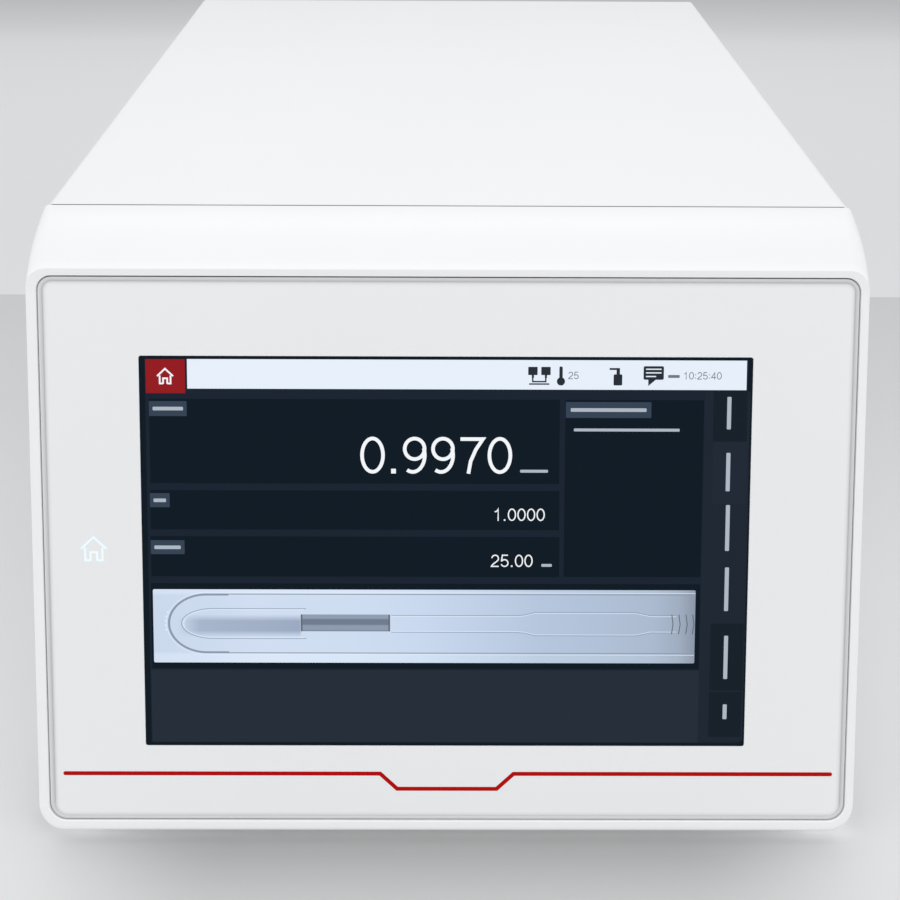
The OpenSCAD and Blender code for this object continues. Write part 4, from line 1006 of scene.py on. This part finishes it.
# %% The magnet and the fitting
MAGNET = (-61.7, 85.6, -24.1, 92.8)
left, low, right_, high = MAGNET
steel = glowing("film_magnet")
steel.set("Emission Color", steel.ramp(share_up(steel, low, high), *[
    (place, linear(tone, tone + 13, tone + 33)) for place, tone in
    ((0.0, 124), (0.08, 142), (0.3, 141), (0.38, 111), (0.66, 110), (0.74, 144), (0.93, 144), (1.0, 134))]))
show(Drawing().box(*MAGNET, 0.3), "film_magnet_body", 6, "film_magnet")
fitting = [[(x, CENTRE - 4.2), (x + 0.6, CENTRE), (x, CENTRE + 4.2)] for x in (94.6, 97.6, 100.6, 103.4)]
edges = Drawing().boxes((left, low, left + 0.7, high), (right_ - 0.7, low, right_, high))
show(edges.strokes(fitting, 0.4), "film_magnet_ends", 7, "film_magnet_edge")
print("the picture is drawn")

# %% [markdown]
# ## Finishes for the CAD pieces
# Every node gets the finish of its material slot, so one table from slot to finish covers them all.

# %% Slot by slot
SLOT_FINISH = {
    "casing": "casing_white", "bezel": "bezel_white", "panel": "panel_grey_white",
    "seal": "seal_grey", "screen_glass": "touch_glass_black", "sheet_metal": "sheet_grey",
    "screw_steel": "screw_zinc", "circuit_board": "board_green", "light_guide": "light_guide_milk",
    "foot_rubber": "foot_rubber_black", "niche_plastic": "niche_charcoal",
    "bare_aluminium": "milled_aluminium", "adapter_plastic": "adapter_blue_grey",
    "nozzle_steel": "nozzle_steel_bright", "cell_glass": "cell_glass_clear",
    "magnet_steel": "magnet_grey", "coil_copper": "coil_copper_wire",
    "peltier_ceramic": "peltier_white", "foam": "foam_grey", "black_plastic": "moulded_black",
    "hose": "hose_clear", "cartridge_plastic": "cartridge_smoke",
    "brass_standoff": "standoff_brass", "socket_steel": "socket_tin",
    "rocker_plastic": "rocker_black", "fan_plastic": "fan_black", "cable_jacket": "cable_grey",
}
slot_of = {part["node"]: part["material_slot"] for part in frame["record"]["subparts"]}
for node_name, node in frame["nodes"].items():
    finish = Finish.made[SLOT_FINISH[slot_of[node_name]]].material
    for holder in node.material_slots:
        holder.material = finish
print("nodes with a finish", len(frame["nodes"]))

# %% [markdown]
# ## Edge radii for the pieces on show
# A CAD edge is perfectly sharp, and no moulded or stamped piece is. Each piece on show is copied, its
# coplanar triangles are joined, and a narrow bevel rounds every edge. The copy rides on the body of
# the piece it replaces.

# %% Copy a CAD piece and round its edges
def soften(node_name, radius):
    node = frame["nodes"][node_name]
    work = bmesh.new()
    work.from_mesh(node.data)
    work.transform(node.matrix_world)
    bmesh.ops.remove_doubles(work, verts=work.verts, dist=0.002 * MM)
    bmesh.ops.dissolve_limit(work, angle_limit=math.radians(0.5), verts=work.verts, edges=work.edges)
    mesh = bpy.data.meshes.new(node_name + "_soft")
    work.to_mesh(mesh)
    work.free()
    slot, body = slot_of[node_name], node.parent.name.split(":")[1]
    piece = place_mesh(mesh.name, mesh, SLOT_FINISH[slot], body, sharp=35)
    round_edges(piece, radius, above=35, steps=2)
    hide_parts(node_name)
    return len(mesh.polygons)


for node_name, radius in (
        ("rear_panel", 0.15), ("port_tray", 0.4), ("mains_inlet", 0.3), ("fuse_drawer", 0.25),
        ("mains_rocker", 0.3), ("fan_frame", 0.4), ("fan_rotor", 0.25), ("cartridge_holder", 0.3),
        ("drying_cartridge", 0.35), ("usb_socket", 0.12), ("network_socket", 0.15), ("base_tray", 0.2)):
    print(node_name, soften(node_name, radius))

# %% [markdown]
# Small socket-head screws hold the fan and the rear panel. A screw head is a few rings round one
# axis, with the ring of the socket bent into a hexagon.

# %% Screw heads on the rear
HEAD_PROFILE = ((3.4, -0.4), (3.4, 0.35), (3.2, 0.9), (2.6, 1.4), (1.7, 1.65), (1.35, 1.65), (1.3, 1.55),
                (1.3, 0.5))
SOCKET_R = 1.35


def head_ring(x, y, z, scale, radius, rise, steps=36):
    places = []
    for k in range(steps):
        angle, r = 2 * math.pi * k / steps, radius * scale
        if radius <= SOCKET_R:
            r *= math.cos(math.pi / 6) / math.cos((angle % (math.pi / 3)) - math.pi / 6)
        places.append(Vector((x + r * math.cos(angle), y + rise * scale, z + r * math.sin(angle))) * MM)
    return places


FAN_X, FAN_Z, FAN_HOLE = 50, 150, 35.75
places = [(FAN_X + a * FAN_HOLE, 260.2, FAN_Z + b * FAN_HOLE, 1.0) for a in (-1, 1) for b in (-1, 1)]
places += [(a * 163.0, 257.0, z, 0.9) for a in (-1, 1) for z in (34.0, 120.0, 206.0)]
heads = joined(solid([head_ring(*place, *station) for station in HEAD_PROFILE]) for place in places)
mesh_piece("rear_screw_heads", *heads, "screw_zinc", slot="screw_steel", sharp=40)
print("screw heads", len(places))

# %% [markdown]
# ## The studio
# White on white needs soft light, and a little less of it on the ground. Two large lamps stand above
# the front and the rear, and two fill the sides. Nothing bright stands behind the camera, or the
# glass would show it.

# %% Floor and bench mat, with painted falloff, shadow and light
ground = Finish("studio_floor", Roughness=0.75)
# Painted falloff: the floor is painted darker towards the back, as shade where less light reaches
floor_painted_falloff = ground.ramp((ground.axis("Y") - 0.9) * 2, *tones(
    (0, 0.73), (0.28, 0.71), (0.49, 0.62), (0.8, 0.53)))
ground.set("Base Color", floor_painted_falloff)

mat = Finish("bench_mat", Roughness=0.7)
# Painted falloff: the bench mat is painted darker towards the back
mat_painted_falloff = mat.ramp((mat.axis("Y") + 0.4) / 0.7, *tones(
    (0, 0.715), (0.286, 0.74), (0.43, 0.733), (0.571, 0.685), (0.714, 0.63), (0.946, 0.58)))
before = mat.axis("Y") * -1
beside = abs(mat.axis("X") - 0.003)
# Painted shadow: a soft dark patch on the mat in front of the casing, where its shadow falls
painted_front_shadow = mat.ramp((before - 0.24) / 0.11, *tones(
    (0.19, 0.735), (0.217, 0.69), (0.249, 0.654), (0.28, 0.647), (0.315, 0.669), (0.359, 0.70),
    (0.411, 0.75), (0.545, 0.812), (0.727, 0.92), (0.955, 1.0)))
near_front = beside.ease(0.192, 0.095, "SMOOTHSTEP") * before.ease(0.2, 0.25, "SMOOTHSTEP")
painted_front_shadow = mat.between(near_front, white, painted_front_shadow)
# Painted light: the mat is painted much lighter just under the casing's front edge
glow = before.ease(0.2612, 0.2545, "SMOOTHSTEP") * beside.ease(0.182, 0.155, "SMOOTHSTEP") * 0.68 + 1
mat.set("Base Color", multiplied(mat, mat_painted_falloff, painted_front_shadow, glow))

for name, far, z, finish in (("floor", 9, -0.0012, ground), ("bench", 0.262, 0.0, mat)):
    mesh = bpy.data.meshes.new(name)
    mesh.from_pydata([(-9, -9, z), (9, -9, z), (9, far, z), (-9, far, z)], [], [(0, 1, 2, 3)])
    mesh.materials.append(finish.material)
    add_object(name, mesh)


# %% Lamps
def lamp(name, place, aim, size, power):
    light = bpy.data.lights.new(name, "AREA")
    light.shape, light.size, light.size_y = "RECTANGLE", size[0], size[1]
    light.energy = power
    holder = add_object(name, light)
    holder.location = place
    holder.rotation_mode = "QUATERNION"
    holder.rotation_quaternion = (Vector(aim) - Vector(place)).to_track_quat("-Z", "Y")


lamp("front_softbox", (0, -0.75, 1.85), (0, -0.1, 0.12), (1.6, 0.9), 5.8)
lamp("rear_softbox", (0, 1.05, 1.75), (0, 0.0, 0.15), (1.8, 0.9), 5.2)
lamp("left_softbox", (-1.5, -1.1, 1.2), (0, -0.1, 0.1), (1.0, 0.8), 6.2)
lamp("right_softbox", (1.5, -1.1, 1.2), (0, -0.1, 0.1), (1.0, 0.8), 6.2)
world = bpy.data.worlds.new("studio_air")
world.use_nodes = True
air = world.node_tree.nodes["Background"].inputs
air["Color"].default_value = (0.97, 0.985, 1.0, 1)
air["Strength"].default_value = 0.72
bpy.context.scene.world = world
bpy.context.scene.view_settings.view_transform = "Standard"
